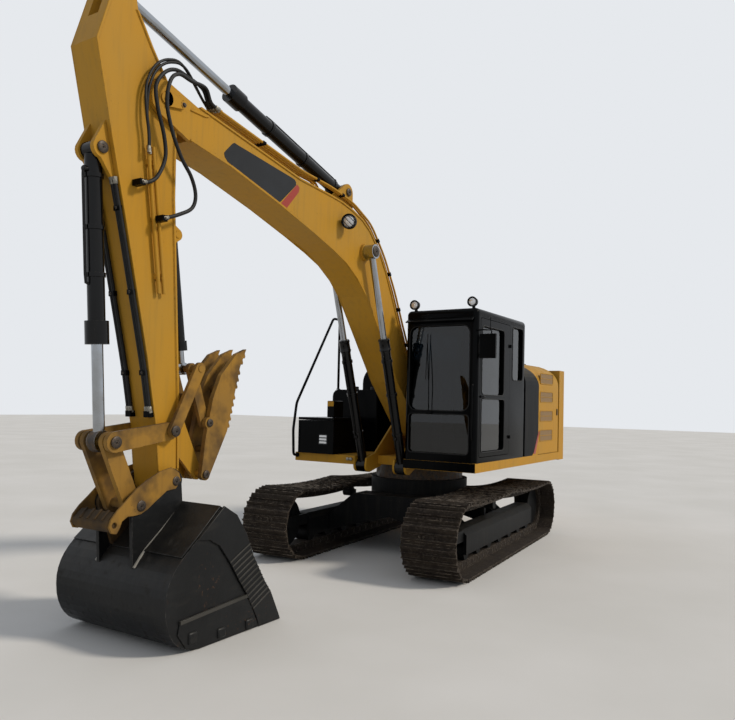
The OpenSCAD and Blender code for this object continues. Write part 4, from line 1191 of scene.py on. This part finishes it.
def tanks():
    """Oil tank and fuel tank, rolled at their edges, with the filler caps on top."""
    outline = [(-HOUSE_HALF, DECK_TOP), (-518, DECK_TOP), (-518, 1942), (-528, 1976), (-558, TANK_TOP),
               (-1148, TANK_TOP), (-1196, 1980), (-1228, 1944), (-HOUSE_HALF, 1902)]
    forms = [plate(outline, x0, x1, in_front) for x0, x1 in ((-510, -118), (-110, 250))]
    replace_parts(piece("tank_shells", forms, black, "house", "yellow_paint", edge_mm=12), "tanks")
    caps = [turned([(r + 6, 0), (r + 6, 8), (r, 10), (r, h), (r - 8, h + 5)], on_house(x, -938, TANK_TOP),
                   (0, 0, 1), 26) for x, r, h in ((-370, 60, 46), (130, 45, 40))]
    piece("tank_caps", caps, plastic, "house", "grey_plastic")
    tread = [block((x, y, TANK_TOP), (x + 70, y + 10, TANK_TOP + 3), on_house) for x in range(-80, 200, 90)
             for y in range(-740, -560, 24)]
    piece("tank_tread", tread, black, "house", "black_paint")


def tool_box():
    """Lamp in the tool box's front with its three bars painted bright as a reflection, the housing on the lid
    with its yellow band, and the two hose ends in the deck's front."""
    rim = plate(round_plate((-852, 1283), (-716, 1417), 16), 1084, 1089, in_front)
    piece("tool_box_lamp", [rim], plastic, "house", "grey_plastic", edge_mm=2)
    # the bars take the lens finish: near-white, a painted reflection
    bars = [block((1088, -838, 1300 + 38 * k), (1092, -730, 1326 + 38 * k), on_house) for k in range(3)]
    piece("tool_box_lamp_bars", bars, bright_painted_lens, "house", "window_glass", edge_mm=2)
    housing = [block((860, -748, 1626), (1064, -642, 1832), on_house)]
    piece("lid_housing", housing, black, "tool_box_lid", "black_paint", edge_mm=8)
    band = [block((1064, -742, 1764), (1066.5, -648, 1826), on_house)]
    piece("lid_housing_strip", band, yellow, "tool_box_lid", "yellow_paint", edge_mm=1)
    profile = [(14, -4), (14, 10), (20, 12), (20, 30), (10, 34)]
    fittings = [turned(profile, on_house(CAB_FRONT, y, 1130), (1, 0, 0), 18) for y in (-378, -424)]
    piece("deck_front_fittings", fittings, zinc, "house", "track_steel")


def hood():
    """Raised middle of the engine hood with its louvres, and the exhaust stack with a slanted mouth."""
    field = [block((-1820, -778, HOOD_TOP), (-745, 778, 2440), on_house)]
    for row in (-1, 1):
        for k in range(9):
            x = -1750 + 105 * k
            louvre = [(x, 2438), (x + 60, 2438), (x + 66, 2458), (x + 58, 2462)]
            field.append(plate(louvre, row * 390 - 250, row * 390 + 250, on_house))
    piece("hood_louvres", field, black, "engine_hood", "black_paint", edge_mm=5)
    stack = turned([(70, 0), (66, 12), (62, 20), (62, 330), (54, 330), (54, 40), (0.5, 40)],
                   on_house(-870, -850, HOOD_TOP), (0, 0, 1), 28)
    mouth = plate([(-1000, 2640), (-1000, 2800), (-700, 2800), (-700, 2730)], -950, -750, on_house)
    piece("exhaust_stack", [stack], greased, "engine_hood", "track_steel", 30, cuts=[mouth])


# Seat and controls


def cushion(name, half, at, lean, swell, pads):
    """A stuffed cushion: a rounded block whose cloth is blown up over its foam, then settled."""
    mesh = bpy.data.meshes.new(name)
    form = bmesh.new()
    bmesh.ops.create_cube(form, size=2)
    bmesh.ops.subdivide_edges(form, edges=form.edges, cuts=9, use_grid_fill=True)
    for v in form.verts:
        x, y, z = v.co
        pinch = 1 - 0.10 * abs(z) ** 3
        round_off = (abs(x) ** 5 + abs(y) ** 5) / 2
        v.co = Vector((x * half[0] * pinch * (1 - 0.05 * abs(y) ** 4),
                       y * half[1] * pinch * (1 - 0.04 * abs(x) ** 4), z * half[2] * (1 - 0.34 * round_off)))
        if pads and z > 0.99:
            v.co.z += half[2] * 0.16 * (abs(y) ** 2) - half[2] * 0.05
    form.to_mesh(mesh)
    form.free()
    made = bpy.data.objects.new(name, mesh)
    bpy.context.scene.collection.objects.link(made)
    made.matrix_world = Matrix.Translation(at) @ Matrix.Rotation(math.radians(lean), 4, "Y")
    bpy.context.view_layer.update()
    mesh.transform(made.matrix_world)
    made.matrix_world = Matrix.Identity(4)
    settle(made, swell)
    sub = made.modifiers.new("smooth", "SUBSURF")
    sub.levels = sub.render_levels = 1
    mesh = made.data
    mesh.shade_smooth()
    mesh.materials.clear()
    mesh.materials.append(cloth)
    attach(made, "house")
    return made


def settle(made, swell):
    """Cloth under pressure for 20 steps; no point moves more than swell, in metres."""
    bpy.context.view_layer.objects.active = made
    remesh = made.modifiers.new("even", "REMESH")
    remesh.mode = "VOXEL"
    remesh.voxel_size = 0.009
    apply_modifiers(made)
    before = [v.co.copy() for v in made.data.vertices]
    sim = made.modifiers.new("cover", "CLOTH")
    sim.settings.quality = 4
    sim.settings.use_pressure = True
    sim.settings.uniform_pressure_force = 4
    sim.settings.tension_stiffness = sim.settings.compression_stiffness = 12
    sim.settings.effector_weights.gravity = 0
    sim.point_cache.frame_start, sim.point_cache.frame_end = 1, 20
    for step in range(1, 21):
        bpy.context.scene.frame_set(step)
    apply_modifiers(made)
    for v, old in zip(made.data.vertices, before):
        move = v.co - old
        if move.length > swell:
            v.co = old + move.normalized() * swell
    bpy.context.scene.frame_set(1)


def seat():
    """Operator's seat: cushions of woven cloth on a moulded base."""
    base = [plate([(60, 1232), (420, 1232), (400, 1300), (330, 1420), (360, 1563), (110, 1563), (140, 1420),
                   (80, 1300)], 640, 936, on_house),
            plate([(10, 1560), (500, 1560), (520, 1590), (10, 1590)], 560, 1016, on_house),
            plate([(20, 1588), (55, 1700), (0, 1980), (-80, 2180), (-120, 2176), (-50, 1960), (-10, 1700),
                   (-30, 1588)], 590, 986, on_house),
            tube([on_house(-70, 748, 2140), on_house(-100, 748, 2290)], 7, 10),
            tube([on_house(-70, 828, 2140), on_house(-100, 828, 2290)], 7, 10)]
    piece("seat_base", base, plastic, "house", "grey_plastic", edge_mm=6)
    pads = [cushion("seat_cushion", (0.245, 0.215, 0.052), (0.275, 0.788, 1.645), 2, 0.010, True),
            cushion("seat_back", (0.255, 0.205, 0.042), (0.035, 0.788, 1.935), -102, 0.010, True),
            cushion("seat_head_rest", (0.072, 0.115, 0.032), (-0.075, 0.788, 2.285), -99, 0.006, False)]
    for pad in pads:
        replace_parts(pad, "operator_seat")


def controls():
    """Joysticks with their boots and grips, the travel levers, and the screen on its arm."""
    boots, grips = [], []
    for y in (475, 1101):
        for k in range(4):
            boots.append(turned([(42 - 6 * k, 0), (46 - 6 * k, 9), (40 - 6 * k, 18)],
                                on_house(440 + 3 * k, y, 1852 + 17 * k), (0.2, 0, 1), 18))
        grips.append(turned([(12, 0), (14, 60), (24, 80), (27, 130), (25, 160), (12, 176)],
                            on_house(452, y, 1915), (0.2, 0, 1), 16))
    for y in (718, 858):
        grips.append(tube([on_house(800, y, 1232), on_house(850, y, 1660), on_house(846, y, 1900)], 10, 10))
        grips.append(tube([on_house(846, y, 1860), on_house(844, y, 1990)], 19, 12))
        grips.append(block((740, y - 50, 1240), (880, y + 50, 1262), on_house))
    piece("joystick_boots", boots, rubber, "house", None, 60)
    piece("joystick_grips", grips, plastic, "house", "grey_plastic", 40)
    case = [block((936, 420, 1850), (968, 640, 2010), on_house),
            block((950, 402, 1800), (980, 440, 1900), on_house)]
    piece("screen_case", case, plastic, "house", "grey_plastic", edge_mm=6)
    face = block((933.0, 432, 1862), (936.4, 628, 1998), on_house)
    piece("screen_face", [face], screen_glass, "house", None, edge_mm=1)


# Bucket and thumb


def along(line, run):
    """The point that lies this many mm along a line of corners."""
    for a, b in zip(line, line[1:]):
        a, b = Vector(a), Vector(b)
        if run <= (b - a).length:
            return a.lerp(b, run / (b - a).length)
        run -= (b - a).length
    return b


def bucket_parts():
    """Side cutters with their slanted ribs, heel plates, cutting edge, wear blocks, the weld beads of the
    ears, and the coupler's hooks with the nose that they hold."""
    outer = [(-116, -167), (-260, -250), (-377, -414), (-459, -590), (-605, -819), (-689, -927),
             (-790, -1119), (-817, -1175)]
    inner = [(149, -386), (27, -404), (-76, -461), (-204, -620), (-299, -760), (-386, -876), (-518, -1094),
             (-548, -1175)]
    heel = [(301, -955), (-397, -910), (-440, -960), (-552, -1175), (100, -1175), (235, -1140), (318, -1030)]
    crescent = [(20, 92), (48, 108), (160, 84), (278, 30), (380, -30), (468, -107), (540, -165), (595, -226),
                (612, -280), (590, -325), (545, -335), (515, -290), (500, -250), (450, -222), (400, -224),
                (333, -218), (270, -190), (214, -150), (90, -70), (0, -60), (-50, 0), (-30, 62)]
    cutters, blocks, beads, hooks, holes, bars = [], [], [], [], [], []
    for side in (-1, 1):
        cutters.append(plate(outer + inner[::-1], *span(side, 609, 626), on_bucket))
        cutters.append(plate(heel, *span(side, 609, 620), on_bucket))
        for k in range(12):
            a, b, drop = along(inner, 420 + 45 * k), along(outer, 450 + 45 * k), Vector((-3, -11))
            bars.append(plate([a, b, b + drop, a + drop], *span(side, 625, 631), on_bucket))
        bars.append(strip([(301, -934), (-405, -888)], 26, *span(side, 610, 628), on_bucket))
        low, high = span(side, 560, 634)
        for x, z, half in ((178, -1078, 42), (-118, -1116, 38), (-432, -1128, 40)):
            blocks.append(block((x - 42, low, z - half), (x + 42, high, z + half), on_bucket))
        line = [on_bucket(x, side * 212, z) for x, z in ((-84, -184), (129, -367), (284, -495), (376, -602))]
        beads.append(tube(through(line, 5), 11, 6))
        hooks.append(plate(crescent, *span(side, 203.5, 221), on_bucket))
        holes.append(turned([(21, 0), (21, 60)], on_bucket(566, side * 190, -270), (0, side, 0), 20))
    nose = [(536, -182), (566, -206), (600, -246), (606, -286), (585, -320), (550, -326), (522, -302),
            (508, -256)]
    bar = [(34, -204), (44, -196), (44, 196), (34, 204)]
    body = [plate(nose, -186, 186, on_bucket), turned(bar, on_bucket(566, 0, -272), (0, 1, 0), 28)]
    body += [plate([(530, -180), (598, -248), (608, -236), (542, -170)], y - 9, y + 9, on_bucket)
             for y in (-120, -40, 40, 120)]
    edge = plate([(-829, -1175), (-587, -1175), (-587, -1149), (-793, -1139)], -612, 612, on_bucket)
    lap = plate([(-99, -172), (129, -371), (285, -499), (293, -490), (134, -360), (-92, -163)],
                -604, 604, on_bucket)
    piece("bucket_side_cutters", cutters + [lap], digging, "bucket", "black_paint", edge_mm=4)
    piece("bucket_cutter_ribs", bars, rib_steel, "bucket", "track_steel", edge_mm=1)
    piece("bucket_cutting_edge", [edge], bucket_bare, "bucket", "track_steel", edge_mm=3)
    piece("bucket_wear_blocks", blocks, digging, "bucket", "black_paint", edge_mm=12)
    piece("coupler_hooks", hooks, worked, "bucket", "yellow_paint", edge_mm=4, cuts=holes)
    piece("coupler_nose", body, darkened_coupler, "bucket", "yellow_paint", edge_mm=5)
    piece("bucket_ear_beads", beads, bead_steel, "bucket", "track_steel")


def thumb_teeth():
    """Teeth along the inner edge of each tine, cut 62 mm apart."""
    step = 62
    edge = [Vector(p) for p in ((-240, 350), (-330, 700), (-380, 900), (-455, 1060))]
    forms = []
    for y in (-155, 0, 155):
        for a, b in zip(edge, edge[1:]):
            count = int((b - a).length / step)
            way = (b - a).normalized()
            out = Vector((-way.y, way.x))
            for k in range(count):
                foot = a + way * ((b - a).length - step * count) / 2 + way * step * k
                tooth = [foot + way * x + out * z for x, z in ((0, -6), (8, 20), (24, 20), (56, -6))]
                forms.append(plate(tooth, y - 19.5, y + 19.5, on_thumb))
    piece("thumb_teeth", forms, worked, "thumb", "yellow_paint", edge_mm=2)


def pin_caps():
    """Dark steel ends of the pins at the arm's joints, each with its grease fitting."""
    spots = (
        ("boom", BOOM_ROD_PIN, 211, 52, on_boom), ("boom", BOOM_ROD_PIN, 331, 60, on_boom),
        ("boom", STICK_BARREL_PIN, 123, 42, on_boom), ("stick", BUCKET_BARREL_PIN, 113, 44, on_stick),
        ("stick", (2554, 0), 231, 42, on_stick), ("stick", (2941, -361), 186, 34, on_stick),
        ("idler_links", LINK_PIN, 191, 44, on_stick), ("thumb", (-390.4, 442), 182, 32, on_bucket),
        ("bucket", (0, 0), 222, 36, on_bucket), ("bucket", (333, -156), 222, 40, on_bucket),
        ("house", (200, 1570), 212, 50, on_house))
    caps = {spot[0]: [] for spot in spots}
    for body, (x, z), y, radius, place in spots:
        cap = [(radius, -6), (radius, 4), (radius - 5, 8), (radius * 0.4, 8), (radius * 0.36, 5)]
        for side in (-1, 1):
            at = place(x, side * y, z)
            caps[body].append(turned(cap, at, (0, side, 0), 28))
            caps[body].append(turned([(6, 4), (6, 14), (3, 20)], at, (0, side, 0), 10))
    for body, forms in caps.items():
        piece(f"pin_caps_{body}", forms, bolt_steel, body, "track_steel", 40)


make_camera()
make_floor()
make_light()

yellow = yellow_enamel()
black = black_enamel()
worked = worked_enamel()
darkened_coupler = darkened_enamel()
digging = bucket_enamel()
shoe_steel = track_steel()
under = frame_enamel()
greased = greased_steel()
chrome = chrome_plate()
barrel_black = barrel_enamel()
glass = safety_glass()
rubber = hose_rubber()
plastic = moulded_plastic()
cloth = seat_cloth()
film_black = film("black_film", "#0B0D10", "#15181C")
film_red = film("red_film", "#9A3628", "#9C4435")
zinc = zinc_plate()
bolt_steel = bolt_blued()
bucket_bare = dug_steel()
rib_steel = film("rubbed_rib", "#3B3935", "#26251F")
bead_steel = film("weld_bead", "#8E8A82", "#6E6A62")
bright_painted_lens = lens_painted_bright()
screen_glass = dark_screen()
side_paint = side_enamel()
mesh_steel = vent_mesh()

NODE_FINISH = (
    (yellow, "main_frame counterweight service_door_left service_door_right tanks boom boom_pipes stick "
             "stick_pipes"),
    (black, "engine_hood tool_box tool_box_lid handrails mirror cab_shell cab_door"),
    (worked, "idler_links power_link thumb thumb_links thumb_push_link"),
    (barrel_black, "boom_barrels stick_barrel bucket_barrel thumb_barrel"),
    (chrome, "boom_rods stick_rod bucket_rod thumb_rod"),
    (under, "car_body track_frames idlers sprockets track_rollers"),
    (plastic, "control_consoles cab_lamps boom_lamp"),
    (shoe_steel, "track_left track_right"),
    (greased, "swing_bearing engine_block"),
    (glass, "cab_glass door_glass"),
    (side_paint, "side_panels"),
    (cloth, "operator_seat"),
    (digging, "bucket"),
    (darkened_coupler, "coupler"),
)

# Width in mm of the round edges that plate work and castings have
SOFT_EDGES = {
    "boom": 4, "stick": 4, "main_frame": 6, "tool_box": 8, "tool_box_lid": 8, "engine_hood": 8,
    "counterweight": 240, "thumb": 6, "idler_links": 6, "power_link": 6, "coupler": 6, "bucket": 3,
    "car_body": 6, "mirror": 12, "thumb_links": 5, "thumb_push_link": 5, "control_consoles": 14,
}

for finish, names in NODE_FINISH:
    for name in names.split():
        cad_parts[name].data.materials.clear()
        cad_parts[name].data.materials.append(finish)

for name, width_mm in SOFT_EDGES.items():
    rounded(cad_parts[name], width_mm, 5 if width_mm > 20 else 2)

for make in (flanges, boom_decals, boom_beads, tip_retainers, boom_lines, boom_work_lamp, tip_hoses,
             foot_hoses, stick_hoses, barrel_bands, stick_beads, shoe_bolts, link_rails, cab, cab_door,
             cab_trim, roof_lamps, vents, side_stripe, tanks, tool_box, hood, seat, controls, bucket_parts,
             thumb_teeth, pin_caps):
    make()
